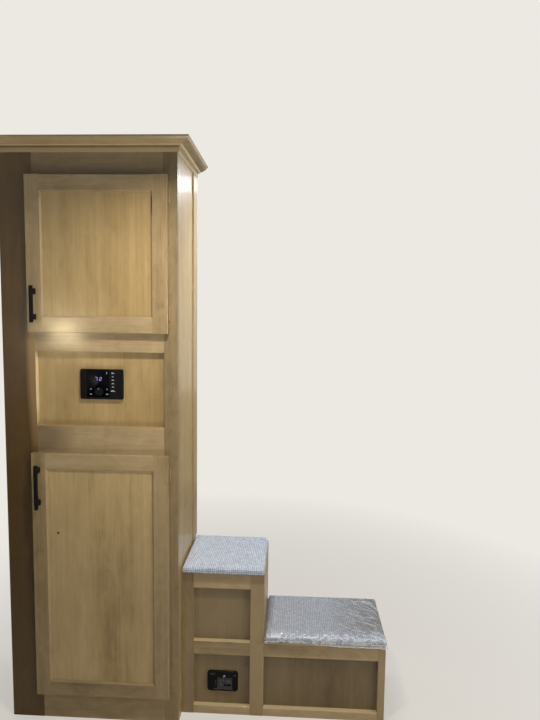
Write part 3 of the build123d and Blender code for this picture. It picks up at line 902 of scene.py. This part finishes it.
@dataclass
class Door:
    """Cope and stick door with its pull, hinges, catch strike and bumpers."""

    body: Body
    veneer: Wood
    grip_thickness: float = 8.0
    foot_width: float = 12.0
    foot_height: float = 20.0
    foot_flare: float = 1.6
    short_pull: float = 160.0
    short_spacing: float = 96.0
    long_spacing: float = 128.0
    screw_radius: float = 4.2
    leaf_height: float = 51.0
    leaf_screw_in: float = 6.5
    leaf_thickness: float = 1.2
    bumper_in: float = 9.0
    bumper_up: float = 14.0

    def __post_init__(self) -> None:
        """Finds the door's name and the corners of its frame."""
        self.name = self.body.value
        self.low, self.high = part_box(self.name + "_stiles")

    def build(self) -> None:
        """Dresses the door's boards and adds its hardware."""
        dress({
            self.name + "_stiles": replace(MAPLE, grain=Axis.Z),
            self.name + "_rails": replace(MAPLE, grain=Axis.X),
            self.name + "_panel": replace(self.veneer, grain=Axis.Z),
            self.name + "_hinge_leaves": HINGE,
            self.name + "_strike": ZINC,
        })
        self.build_pull()
        self.build_hinge_screws()
        self.build_bumpers()

    def build_pull(self) -> None:
        """Square bar pull on two flared feet, with screws through the stile from behind."""
        node = self.name + "_pull"
        low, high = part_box(node)
        spacing = mm(self.short_spacing if high.z - low.z < mm(self.short_pull) else self.long_spacing)
        x, middle = (low.x + high.x) / 2, (low.z + high.z) / 2
        back_y = low.y + mm(self.grip_thickness)
        piece, screws = Workpiece(node + "_bar"), Workpiece(node + "_screws")
        piece.slab(low, Vector((high.x, back_y, high.z)), BLACK, 1.6, 1.3)
        foot = Vector((mm(self.foot_width) / 2, 0, mm(self.foot_height) / 2))
        flared = foot + Vector((mm(self.foot_flare) / 2, 0, mm(self.foot_flare) / 2))
        for side in (-1, 1):
            z = middle + side * spacing / 2
            base = Vector((x, self.low.y, z))
            piece.slab(Vector((x, back_y - mm(0.4), z)) - foot, base + foot, BLACK, 1.4)
            piece.slab(Vector((x, self.low.y - mm(2), z)) - flared, base + flared, BLACK, 2, 0.7, rounds=2)
            screws.screw(Vector((x, self.high.y, z)), BACKWARDS, self.screw_radius, ZINC, 0.4 + side * 0.5)
        piece.finish(self.body, replaces=[node])
        screws.finish(self.body)

    def build_hinge_screws(self) -> None:
        """Low screw heads on the hinge leaves, two to a leaf."""
        low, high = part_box(self.name + "_hinge_leaves")
        x, y = low.x + mm(self.leaf_screw_in), self.high.y + mm(self.leaf_thickness)
        height = mm(self.leaf_height)
        piece = Workpiece(self.name + "_hinge_screws")
        for base in (low.z, high.z - height):
            for share in (0.2, 0.8):
                piece.turned([(0, -0.1), (2.6, -0.1), (2.3, 0.28), (0, 0.34)],
                             Vector((x, y, base + height * share)), BACKWARDS, HINGE, 14)
        piece.finish(self.body)

    def build_bumpers(self) -> None:
        """Two bumpers on the door's back, at the corners away from the hinges."""
        piece = Workpiece(self.name + "_bumpers")
        for z in (self.low.z + mm(self.bumper_up), self.high.z - mm(self.bumper_up)):
            piece.turned([(0, 0), (4, 0), (4, 1.2), (3.2, 2.1), (1.6, 2.45), (0, 2.5)],
                         Vector((self.low.x + mm(self.bumper_in), self.high.y, z)), BACKWARDS, BUMPER, 18)
        piece.finish(self.body)


@dataclass
class CabinetHardware:
    """Hinge leaves and catches on the cabinet's side."""

    catch_height: float = 42.0
    magnet_height: float = 12.0
    magnet_in: float = 2.5
    magnet_proud: float = 0.15
    magnet_depth: float = 1.0

    def build(self) -> None:
        """Dresses the leaves and catches, and adds the catches' magnet faces."""
        dress({"frame_hinge_leaves": HINGE, "door_catches": CATCH})
        low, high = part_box("door_catches")
        height, half = mm(self.catch_height), mm(self.magnet_height) / 2
        left, right = low.x + mm(self.magnet_in), high.x - mm(self.magnet_in)
        front, back = low.y - mm(self.magnet_proud), low.y + mm(self.magnet_depth)
        piece = Workpiece("catch_magnets")
        for base in (low.z, high.z - height):
            for share in (0.3, 0.7):
                z = base + height * share
                piece.slab(Vector((left, front, z - half)), Vector((right, back, z + half)), ZINC,
                           edge=0.12, rounds=1)
        piece.finish(Body.CABINET)


@dataclass
class FrontPlate:
    """Fitting that faces forwards, measured from the upper left corner of its front."""

    node: str
    corner: float

    def __post_init__(self) -> None:
        """Finds the fitting's corners from its CAD node."""
        self.low, self.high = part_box(self.node)

    def at(self, across: float, down: float, out: float) -> Vector:
        """Point on the front.

        Args:
            across: Millimetres from its left edge.
            down: Millimetres from its top edge.
            out: Millimetres in front of it.

        Returns:
            The point in metres.
        """
        return Vector((self.low.x + mm(across), self.low.y - mm(out), self.high.z - mm(down)))


@dataclass
class ControlPanel(FrontPlate):
    """Wall controller in the fixed bay: moulded body, gloss lens, display, dial, keys and printed marks."""

    node: str = "control_housing"
    corner: float = 6.0
    seam: float = 0.7
    seam_depth: float = 3.2
    lens_lift: float = 0.5
    key_lift: float = 1.2
    digit_down: float = 37.5
    digit_width: float = 7.6
    digit_height: float = 12.0
    segment: float = 1.7
    segment_gap: float = 0.5
    knurls: int = 72
    knurl_radius: float = 15.8
    grille_start: tuple[float, float] = (146.0, 18.0)
    grille_pitch: tuple[float, float] = (3.4, 3.8)
    grille_count: tuple[int, int] = (5, 22)

    def plate(self, piece: Workpiece, centre: tuple[float, float], size: tuple[float, float], base: float,
              out: float, finish: Finish, corner: float, edge: float, rounds: int = 2) -> None:
        """Adds a slab on the front, placed by its centre.

        Args:
            piece: Workpiece that gets it.
            centre: Millimetres from the housing's left and top edges.
            size: Width and height in millimetres.
            base: Where its back is, in millimetres in front of the front plane.
            out: Where its front is.
            finish: Its finish.
            corner: Corner radius in millimetres.
            edge: Easing of its rim in millimetres.
            rounds: Segments of its roundings.
        """
        (x, z), (width, height) = centre, size
        low = self.at(x - width / 2, z + height / 2, out)
        piece.slab(low, self.at(x + width / 2, z - height / 2, base), finish, corner, edge, rounds)

    def mark(self, piece: Workpiece, centre: tuple[float, float], size: tuple[float, float], surface: float,
             corner: float = 0.6, finish: Finish = INK) -> None:
        """Adds a thin mark that is printed on a surface or lights up in it.

        Args:
            piece: Workpiece that gets it.
            centre: Millimetres from the housing's left and top edges.
            size: Width and height in millimetres.
            surface: Where the surface is, in millimetres in front of the front plane.
            corner: Corner radius in millimetres.
            finish: Its finish.
        """
        self.plate(piece, centre, size, surface - 0.1, surface + 0.12, finish, corner, 0.0, rounds=1)

    def build(self) -> None:
        """Builds the body, the lens with its display, and the controls."""
        body = Workpiece("control_body")
        seam = Vector((mm(self.seam), 0, mm(self.seam)))
        back = self.high.y - mm(self.seam_depth)
        body.slab(Vector((self.low.x, back, self.low.z)) + seam, self.high - seam, MOULDED,
                  self.corner - self.seam)
        body.slab(self.low, Vector((self.high.x, back, self.high.z)), MOULDED, self.corner, 2.5, rounds=4)
        body.finish(Body.CABINET, replaces=["control_housing"])
        lens = Workpiece("control_lens")
        self.plate(lens, (71, 56), (88, 104), -1.4, self.lens_lift, GLOSS, 2.4, 0.5)
        lens.finish(Body.CABINET, replaces=["control_screen"])
        self.build_display()
        self.build_dial()
        self.build_keys()
        self.build_marks()
        self.build_grille()

    def build_display(self) -> None:
        """Two seven-segment digits that show a room temperature."""
        piece = Workpiece("control_digits")
        w, h, s, gap = self.digit_width, self.digit_height, self.segment, self.segment_gap
        bars = {
            "a": (0, -h / 2, w - gap, s), "g": (0, 0, w - gap, s), "d": (0, h / 2, w - gap, s),
            "f": (-w / 2, -h / 4, s, h / 2 - gap), "b": (w / 2, -h / 4, s, h / 2 - gap),
            "e": (-w / 2, h / 4, s, h / 2 - gap), "c": (w / 2, h / 4, s, h / 2 - gap),
        }
        for centre, lit in ((64.0, "abc"), (80.5, "abged")):
            for key in lit:
                right, down, width, height = bars[key]
                lean = -down * 0.1
                self.mark(piece, (centre + right + lean, self.digit_down + down), (width, height),
                          self.lens_lift, 0.45, DIGIT)
        piece.finish(Body.CABINET)

    def build_dial(self) -> None:
        """Push dial with a knurled rim, a dished face and a pointer."""
        piece = Workpiece("control_knob")
        low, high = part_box("control_dial")
        centre = Vector(((low.x + high.x) / 2, self.low.y, (low.z + high.z) / 2))
        rim = self.knurl_radius
        profile = [(0, -0.2), (16.5, -0.2), (16.5, 0.9), (rim, 1.1), (rim, 5.6), (15.0, 6.6), (13.8, 7.0),
                   (12.4, 6.7), (6, 6.2), (0, 6.1)]
        for vert in piece.turned(profile, centre, FORWARDS, MOULDED, self.knurls):
            offset = vert.co - centre
            turn = round(math.atan2(offset.z, offset.x) / math.tau * self.knurls)
            if abs(math.hypot(offset.x, offset.z) - mm(rim)) < mm(0.2) and turn % 2:
                shrink = 1 - 0.035
                vert.co = centre + Vector((offset.x * shrink, offset.y, offset.z * shrink))
        piece.slab(centre + point(-0.7, -7.15, 8.4), centre + point(0.7, -6.2, 12.8), INK, 0.5, rounds=1)
        piece.finish(Body.CABINET, replaces=["control_dial"], smooth_deg=40)

    def build_keys(self) -> None:
        """Four keys beside the dial, each with a small printed mark."""
        piece = Workpiece("control_keys")
        top = self.lens_lift + self.key_lift
        upper_marks = [(0.0, 4.6, 4.0, 1.8, 2)]
        lower_marks = [(0.6, 9.0, 2.2, 0.9, 1), (-1.9, 4.6, 1.4, 0.6, 1)]
        for x in (43, 106):
            for z, marks in ((77, upper_marks), (97, lower_marks)):
                self.plate(piece, (x, z), (13, 7), self.lens_lift - 0.6, top, GLOSS, 2.4, 0.6)
                for down, width, height, corner, rounds in marks:
                    self.plate(piece, (x, z + down), (width, height), top - 0.1, top + 0.1, INK, corner, 0,
                               rounds)
        piece.finish(Body.CABINET, replaces=["control_buttons"])

    def build_marks(self) -> None:
        """Column of printed function marks right of the lens, and a bar on the lens."""
        piece = Workpiece("control_printing")
        rows = [(14.7, 12.0, 4.2), (28.2, 8.5, 3.6), (41.2, 10.7, 4.0), (54.6, 10.7, 3.6), (67.6, 9.6, 3.6),
                (83.4, 17.0, 5.0)]
        for z, width, height in rows:
            self.mark(piece, (129, z + height * 0.24), (width, height * 0.48), 0.0)
            self.mark(piece, (129 - width * 0.12, z - height * 0.34), (width * 0.6, height * 0.44), 0.0)
        self.mark(piece, (105, 14), (2.2, 8.0), self.lens_lift, 0.9)
        piece.finish(Body.CABINET)

    def build_grille(self) -> None:
        """Pin holes beside the printed marks, each a gloss black disc on the face: painted shade, with no
        hole cut.
        """
        piece = Workpiece("control_grille")
        for column in range(self.grille_count[0]):
            for row in range(self.grille_count[1]):
                at = self.at(self.grille_start[0] + column * self.grille_pitch[0],
                             self.grille_start[1] + row * self.grille_pitch[1], 0.05)
                piece.disc(at, FORWARDS, 0.7, 8, GLOSS)
        piece.finish(Body.CABINET)


@dataclass
class Outlet(FrontPlate):
    """Outlet plate low on the tall step: moulded surround, hinged flap over its slot, and a round jack."""

    node: str = "outlet_plate"
    corner: float = 12.0
    rim: float = 3.2

    def build(self) -> None:
        """Builds the surround, the insert and the jack."""
        plate = Workpiece("outlet_surround")
        plate.slab(self.low, self.high, POLISHED, self.corner, self.rim, rounds=4)
        plate.finish(Body.CABINET, replaces=["outlet_plate"])
        insert = Workpiece("outlet_cover")
        # left, bottom and front; right, top and back; finish; corner, easing and rounds
        parts = [
            ((14, 82, 0.9), (112, 8, -1.5), POLISHED, (4, 1.0, 3)),
            ((42, 78, 2.2), (103, 27, 0.5), FLAP, (2.5, 0.8, 3)),
            # The slot is a gloss black strip on the flap: painted shade, with no opening cut.
            ((69, 61.5, 2.35), (100, 54.5, 2.0), GLOSS, (0.8, 0, 1)),
            ((45, 30.4, 3.0), (100, 28.6, 2.0), FLAP, (0.4, 0, 1)),
            ((24, 77.5, 2.9), (106, 73.5, 0.5), FLAP, (0.8, 0.4, 1)),
            ((33.4, 62, 1.5), (36, 38, 0.5), FLAP, (0.6, 0, 1)),
            # Two small grey pads near the top corners: painted highlights.
            ((11, 15, 1.4), (31, 9.5, 0.2), FLAP, (0.8, 0.3, 1)),
            ((110, 19, 1.4), (118, 13, 0.2), FLAP, (0.8, 0.3, 1)),
        ]
        for near, far, finish, rounding in parts:
            insert.slab(self.at(*near), self.at(*far), finish, *rounding)
        jack = self.at(70, 18, 0.9)
        collar = [(0, -0.5), (8.2, -0.5), (8.2, 1.0), (7.4, 1.8), (5.9, 1.9), (5.9, 0.6), (0, 0.6)]
        ring = [(0, 0.4), (5.0, 0.4), (5.0, 4.6), (4.6, 5.0), (3.0, 5.0), (2.8, 4.6), (2.8, 2.0), (0, 2.0)]
        for profile, finish in ((collar, MOULDED), (ring, NICKEL)):
            insert.turned(profile, jack, FORWARDS, finish, 32)
        insert.finish(Body.CABINET, replaces=["outlet_insert"])


@dataclass
class PaddedTread:
    """Foam tread wrapped in woven fabric: a clipped cloth simulation on a remeshed block."""

    node: str
    back_corner: float
    front_corner: float = 12.0
    left_corner: float = 8.0
    nose: float = 8.5
    underside: float = 2.5
    inset: float = 1.6
    voxel: float = 5.0
    pinned_height: float = 3.0
    flat_height: float = 4.0
    pressure: float = 4.0
    stiffness: float = 30.0
    frames: int = 20
    cap: float = 3.0
    pucker: float = 0.5
    swell: float = 0.35
    nose_reach: float = 34.0
    side_reach: float = 26.0
    wrap_reach: float = 14.0
    rise: float = 2.0
    bulge_front: float = 1.5
    bulge_right: float = 1.2

    def __post_init__(self) -> None:
        """Finds the corners of the CAD pad."""
        self.low, self.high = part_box(self.node)

    def build(self) -> bpy.types.Object:
        """Builds the tread and returns its finished object."""
        thing = self.blank()
        self.inflate(thing)
        self.subdivide(thing)
        self.shape(thing)
        self.map_weave(thing)
        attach(thing, Body.CABINET.value)
        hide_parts(self.node)
        log.info("padded tread %s: %d faces", thing.name, len(thing.data.polygons))
        return thing

    def blank(self) -> bpy.types.Object:
        """Returns the foam block with its roundings, remeshed."""
        bm = bmesh.new()
        inset = Vector((mm(self.inset),) * 3)
        low = self.low + inset - Vector((0, 0, mm(self.inset)))
        high = self.high - inset
        bmesh.ops.create_cube(bm, size=1.0, matrix=box_matrix(low, high))
        middle = (low + high) / 2
        uprights = [e for e in bm.edges if abs((e.verts[0].co - e.verts[1].co).z) > 1e-4]
        for edge in uprights:
            x, y = edge.verts[0].co.x, edge.verts[0].co.y
            if y < middle.y:
                radius = self.front_corner
            else:
                radius = self.back_corner if x > middle.x else self.left_corner
            bevel(bm, [edge], radius, 6)
        top = max(bm.faces, key=lambda f: f.calc_center_median().z)
        bevel(bm, top.edges, self.nose, 5)
        bottom = min(bm.faces, key=lambda f: f.calc_center_median().z)
        bevel(bm, bottom.edges, self.underside, 2)
        thing = add_object(self.node + "_fabric", bm)
        remesh = thing.modifiers.new("remesh", "REMESH")
        remesh.mode, remesh.voxel_size = "VOXEL", mm(self.voxel)
        apply_modifiers(thing)
        return thing

    def inflate(self, thing: bpy.types.Object) -> None:
        """Runs the cloth under pressure with its underside pinned, and clips how far it moves.

        Args:
            thing: Remeshed block.
        """
        start = [v.co.copy() for v in thing.data.vertices]
        group = thing.vertex_groups.new(name="pinned")
        group.add([i for i, co in enumerate(start) if co.z < self.low.z + mm(self.pinned_height)], 1.0,
                  "REPLACE")
        cloth = thing.modifiers.new("cloth", "CLOTH")
        cloth.settings.use_pressure = True
        cloth.settings.uniform_pressure_force = self.pressure
        cloth.settings.effector_weights.gravity = 0.0
        cloth.settings.vertex_group_mass = "pinned"
        cloth.settings.tension_stiffness = cloth.settings.compression_stiffness = self.stiffness
        cloth.point_cache.frame_start, cloth.point_cache.frame_end = 1, self.frames
        scene = bpy.context.scene
        for step in range(1, self.frames + 1):
            scene.frame_set(step)
        apply_modifiers(thing)
        scene.frame_set(1)
        limit = mm(self.cap)
        for vert, old in zip(thing.data.vertices, start):
            move = vert.co - old
            if move.length > limit:
                vert.co = old + move * (limit / move.length)

    def subdivide(self, thing: bpy.types.Object) -> None:
        """Subdivides the clipped cloth once."""
        finer = thing.modifiers.new("subdivision", "SUBSURF")
        finer.levels = finer.render_levels = 1
        apply_modifiers(thing)

    def shape(self, thing: bpy.types.Object) -> None:
        """Swells the top unevenly, puckers the pulled fabric round the nose, and keeps the pad near its CAD
        box.

        Args:
            thing: Subdivided cloth.
        """
        low, high = self.low, self.high
        for vert in thing.data.vertices:
            co = vert.co
            front = fade(co.y - low.y, self.nose_reach)
            ripple = noise.noise(Vector((co.x * 95, co.y * 14, co.z * 14)))
            loose = noise.noise(Vector((co.x * 22, co.y * 22, 3.1)))
            side = fade(min(co.x - low.x, high.x - co.x), self.side_reach)
            pull = mm(self.pucker) * (front * ripple * 1.6 + side * ripple * 0.6) + mm(self.swell) * loose
            if co.z > low.z + mm(self.flat_height):
                vert.co = co + Vector((0, -front * 0.7, 0.7)) * pull
            vert.co.z = clamp(vert.co.z, low.z, high.z + mm(self.rise))
            vert.co.y = clamp(vert.co.y, low.y - mm(self.bulge_front), high.y)
            vert.co.x = clamp(vert.co.x, low.x, high.x + mm(self.bulge_right))
        shade_smooth(thing.data)
        thing.data.update()

    def map_weave(self, thing: bpy.types.Object) -> None:
        """Writes the UV map along the surface, in metres, so that yarns run over the nose and the sides.

        Args:
            thing: Shaped cloth.
        """
        mesh, low, high = thing.data, self.low, self.high
        mesh.materials.clear()
        mesh.materials.append(FABRIC.material())
        layer = mesh.uv_layers.new(name="weave")
        places = []
        for vert in mesh.vertices:
            drop = high.z - vert.co.z
            to_front = fade(vert.co.y - low.y, self.wrap_reach)
            to_left = fade(vert.co.x - low.x, self.wrap_reach) * (1 - to_front)
            to_right = fade(high.x - vert.co.x, self.wrap_reach) * (1 - to_front)
            places.append((vert.co.x + drop * (to_right - to_left), vert.co.y - drop * to_front))
        for loop in mesh.loops:
            layer.data[loop.index].uv = places[loop.vertex_index]


@dataclass
class FilmWrap:
    """Clear film shrunk over the low tread, creased towards its front and right, with a loose hem."""

    tread: bpy.types.Object
    node: str = "step_pad_low"
    underside_normal: float = -0.75
    stand_off: float = 0.55
    crease_lift: float = 1.1
    overhang: float = 0.9
    clearance: float = 0.2
    turned_down: float = 20.0
    front_reach: float = 75.0
    right_shade_reach: float = 60.0
    hem_top: float = 2.5
    hem_drop: float = 8.5
    hem_out: float = 1.2
    hem_wave: float = 2.6
    hem_loose: float = 3.2
    tuft_radius: float = 5.5

    def __post_init__(self) -> None:
        """Finds the corners of the tread's CAD pad."""
        self.low, self.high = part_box(self.node)

    def build(self) -> None:
        """Builds the film and its hem."""
        bm = bmesh.new()
        bm.from_mesh(self.tread.data)
        bm.normal_update()
        underside = [f for f in bm.faces if f.normal.z < self.underside_normal]
        bmesh.ops.delete(bm, geom=underside, context="FACES")
        for old in bm.loops.layers.uv.values():
            bm.loops.layers.uv.remove(old)
        crease_glint_layer = bm.verts.layers.float.new("crease_glint")
        right_shade_layer = bm.verts.layers.float.new("right_shade")
        for vert in bm.verts:
            crease_glint = self.crease_glint(vert.co)
            vert.co += vert.normal * (mm(self.stand_off) + mm(self.crease_lift) * crease_glint)
            vert.co.z = max(vert.co.z, self.low.z + mm(self.clearance))
            vert.co.x = max(vert.co.x, self.low.x - mm(self.overhang))
            vert.co.y = min(vert.co.y, self.high.y + mm(self.overhang))
            vert[crease_glint_layer] = crease_glint
            # Painted shade, warm, over the right of the tread, fading out towards its front.
            away = clamp((vert.co.y - self.low.y) / mm(self.right_shade_reach))
            vert[right_shade_layer] = clamp((self.rightness(vert.co) - 0.5) / 0.4) * away
        self.add_hem(bm, crease_glint_layer)
        self.add_tuft(bm, crease_glint_layer)
        area = sum(f.calc_area() for f in bm.faces)
        film = add_object("step_pad_low_film", bm, WRAP)
        shade_smooth(film.data)
        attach(film, Body.CABINET.value)
        log.info("film: %d faces, %.3f square metres", len(film.data.polygons), area)

    def rightness(self, co: Vector) -> float:
        """How far across the tread a point is, from 0 at its left to 1 at its right."""
        return (co.x - self.low.x) / (self.high.x - self.low.x)

    def crease_glint(self, co: Vector) -> float:
        """How sharply the film is creased at a point; the same value paints it milky, partly as painted
        glints.

        Long folds slant over the right of the tread, short ones gather at its front, and fine ones lie all
        over it. The whole front strip is raised too and painted milky, as painted light on the nose.

        Args:
            co: Point on the tread.

        Returns:
            From 0, flat, to 1, on a ridge.
        """
        front = fade(co.y - self.low.y, self.front_reach)
        slant = Vector((co.x * 0.80 - co.y * 0.60, co.y * 0.80 + co.x * 0.60, 0.0))
        long_fold = fold(Vector((slant.x * 9, slant.y * 62, 1.7)), 6)
        short_fold = fold(Vector((co.x * 40, co.y * 55, co.z * 85)), 4)
        amount = long_fold * max(0.0, self.rightness(co) - 0.25) * 1.3
        # The second term is painted light: the front strip is milky all over, besides its short folds.
        amount += short_fold * front * front * 1.9 + front * front * 0.64
        amount += fold(co * 38, 12) * 0.35
        return min(1.0, amount)

    def add_hem(self, bm: bmesh.types.BMesh, layer: bmesh.types.BMLayerItem) -> None:
        """Loose edge of the film that hangs below the nose, lower and looser towards its right.

        Args:
            bm: Film so far.
            layer: Attribute of creases and painted glints.
        """
        for vert in bmesh.ops.create_grid(bm, x_segments=160, y_segments=3, size=0.5)["verts"]:
            along, down = vert.co.x + 0.5, 0.5 - vert.co.y
            x = self.low.x + (self.high.x - self.low.x) * along
            wave = noise.noise(Vector((x * 42, down * 1.5, 5.0)))
            loose = clamp((along - 0.35) / 0.3)
            drop = mm(self.hem_drop) * down * (0.25 + 0.75 * loose) * (0.8 + 0.5 * wave)
            out = mm(self.hem_out) + mm(self.hem_wave) * abs(wave) * down
            out += mm(self.hem_loose) * loose * down
            vert.co = Vector((x, self.low.y - out, self.low.z + mm(self.hem_top) - drop))
            # The hem is painted milky, more at its lower edge: partly whitened film, partly a painted
            # highlight.
            vert[layer] = 0.55 + 0.45 * down

    def add_tuft(self, bm: bmesh.types.BMesh, layer: bmesh.types.BMLayerItem) -> None:
        """Gathered tuft at the hem's left end.

        Args:
            bm: Film so far.
            layer: Attribute of creases and painted glints.
        """
        at = self.low + point(7, 0.5, 1.0)
        ball = bmesh.ops.create_icosphere(bm, subdivisions=3, radius=mm(self.tuft_radius),
                                          matrix=Matrix.Translation(at))
        for vert in ball["verts"]:
            offset = vert.co - at
            rough = 1 + 0.5 * noise.noise(vert.co * 420)
            vert.co = at + Vector((offset.x * rough, offset.y * 0.7 * rough, offset.z * 0.7 * rough))
            vert.co.x = max(vert.co.x, self.low.x - mm(self.overhang))
            vert[layer] = 0.9


@dataclass(frozen=True)
class Lamp:
    """Soft rectangular lamp, with its lengths in millimetres and its spread in degrees."""

    name: str
    place: tuple[float, float, float]
    target: tuple[float, float, float]
    width: float
    height: float
    watts: float
    code: str
    spread: float = 180.0

    def build(self) -> None:
        """Hangs the lamp and turns it to its target."""
        data = bpy.data.lights.new(self.name, "AREA")
        data.shape, data.size, data.size_y = "RECTANGLE", mm(self.width), mm(self.height)
        data.energy, data.color, data.spread = self.watts, linear(self.code)[:3], math.radians(self.spread)
        lamp = bpy.data.objects.new(self.name, data)
        lamp.rotation_mode = "QUATERNION"
        lamp.location = point(*self.place)
        lamp.rotation_quaternion = (point(*self.target) - point(*self.place)).to_track_quat("-Z", "Y")
        lamp.visible_camera = False
        bpy.context.scene.collection.objects.link(lamp)


# The weak lamps at the left and the rear hang where the lacquer mirrors them to the camera, as thin glints.
LAMPS = (
    Lamp("overhead", (80, -721, 2286), (80, -721, 0), 150, 150, 11.4, "#fff3e2", 153),
    Lamp("rear_overhead", (340, 420, 2290), (340, 420, 0), 400, 400, 13.5, "#f7f8ff"),
    Lamp("room_softbox", (2300, -1200, 1400), (0, 0, 1100), 1000, 1000, 24.0, "#fff9f0"),
    Lamp("left_glint", (-1383, -2150, 1491), (-505, -170, 1565), 150, 150, 0.021, "#ffe9b8", 11),
    Lamp("left_fill", (-1430, -2150, 1560), (-500, -160, 1200), 420, 420, 0.8, "#fffaf2"),
    Lamp("floor_bounce", (0, -1500, 30), (0, -1500, 2000), 1400, 1200, 14.5, "#fff8ee", 120),
    Lamp("back_softbox", (-2300, 1300, 900), (-400, 150, 1000), 1400, 1400, 24.0, "#fffaf2"),
    Lamp("rear_glint", (23, 577, 2300), (-60, 60, 1900), 110, 80, 0.06, "#ffffff"),
    Lamp("rear_strip_narrow", (15, 577, 1425), (-76, 20, 1425), 50, 1350, 0.085, "#ffedc2"),
    Lamp("rear_strip_wide", (110, 577, 1375), (-76, 20, 1375), 90, 1350, 0.10, "#ffedc2"),
)


@dataclass
class Studio:
    """Camera at the photograph's place, soft lamps, pale floor and world."""

    camera_at: tuple[float, float, float] = (367.7, -2139.0, 1649.0)
    yaw: float = 2.694
    pitch: float = 4.94
    roll: float = 0.748
    lens: float = 26.38
    sensor: float = 36.0
    floor_reach: float = 9000.0
    backdrop_code: str = "#ece9e3"
    soft_code: str = "#f4f1ea"

    def build(self) -> None:
        """Builds everything that isn't part of the object."""
        self.build_camera()
        self.build_world()
        self.build_floor()
        for lamp in LAMPS:
            lamp.build()

    def build_camera(self) -> None:
        """Camera turned to the photograph's viewing angle, with the long side of its sensor upright."""
        yaw, pitch, roll = (math.radians(a) for a in (self.yaw, self.pitch, self.roll))
        ahead = Vector((-math.sin(yaw) * math.cos(pitch), math.cos(yaw) * math.cos(pitch), -math.sin(pitch)))
        right = Vector((math.cos(yaw), math.sin(yaw), 0.0))
        up = right.cross(ahead)
        right, up = (right * math.cos(roll) + up * math.sin(roll),
                     up * math.cos(roll) - right * math.sin(roll))
        data = bpy.data.cameras.new("camera")
        data.sensor_fit, data.sensor_width, data.lens = "AUTO", self.sensor, self.lens
        data.clip_start, data.clip_end = 0.05, 60.0
        camera = bpy.data.objects.new("camera", data)
        turn = Matrix((right, up, -ahead)).transposed().to_4x4()
        camera.matrix_world = Matrix.Translation(point(*self.camera_at)) @ turn
        bpy.context.scene.collection.objects.link(camera)
        bpy.context.scene.camera = camera

    def build_world(self) -> None:
        """Soft even light, with a pale backdrop for what the camera and reflections see."""
        world = bpy.data.worlds.new("studio")
        world.use_nodes = True
        tree = world.node_tree
        tree.nodes.clear()
        path = add_node(tree, "LightPath").outputs
        seen = add_node(tree, "Math", {0: path["Is Camera Ray"], 1: path["Is Transmission Ray"]},
                        operation="MAXIMUM")
        shades = ((self.soft_code, 0.07), (self.backdrop_code, 0.65), (self.backdrop_code, 1.0))
        soft, mirrored, shown = (
            add_node(tree, "Background", {"Color": linear(code), "Strength": strength})
            for code, strength in shades)
        mixed = add_node(tree, "MixShader", {0: path["Is Glossy Ray"], 1: soft, 2: mirrored})
        mixed = add_node(tree, "MixShader", {0: seen, 1: mixed, 2: shown})
        add_node(tree, "OutputWorld", {"Surface": mixed})
        bpy.context.scene.world = world

    def build_floor(self) -> None:
        """Floor that the object stands on."""
        bm = bmesh.new()
        bmesh.ops.create_grid(bm, x_segments=8, y_segments=8, size=mm(self.floor_reach))
        floor = add_object("floor", bm, FLOOR)


def main() -> None:
    """Builds the looks in order."""
    logging.basicConfig(level=logging.INFO, format="%(name)s: %(message)s")
    bpy.context.scene.view_settings.view_transform = "Standard"
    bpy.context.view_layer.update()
    Studio().build()
    Casework().build()
    for body, veneer in ((Body.UPPER, VENEER), (Body.LOWER, LOWER_VENEER)):
        Door(body, veneer).build()
    CabinetHardware().build()
    ControlPanel().build()
    Outlet().build()
    PaddedTread("step_pad_tall", back_corner=26.0).build()
    low_tread = PaddedTread("step_pad_low", back_corner=10.0).build()
    FilmWrap(low_tread).build()


if __name__ == "__main__":
    main()
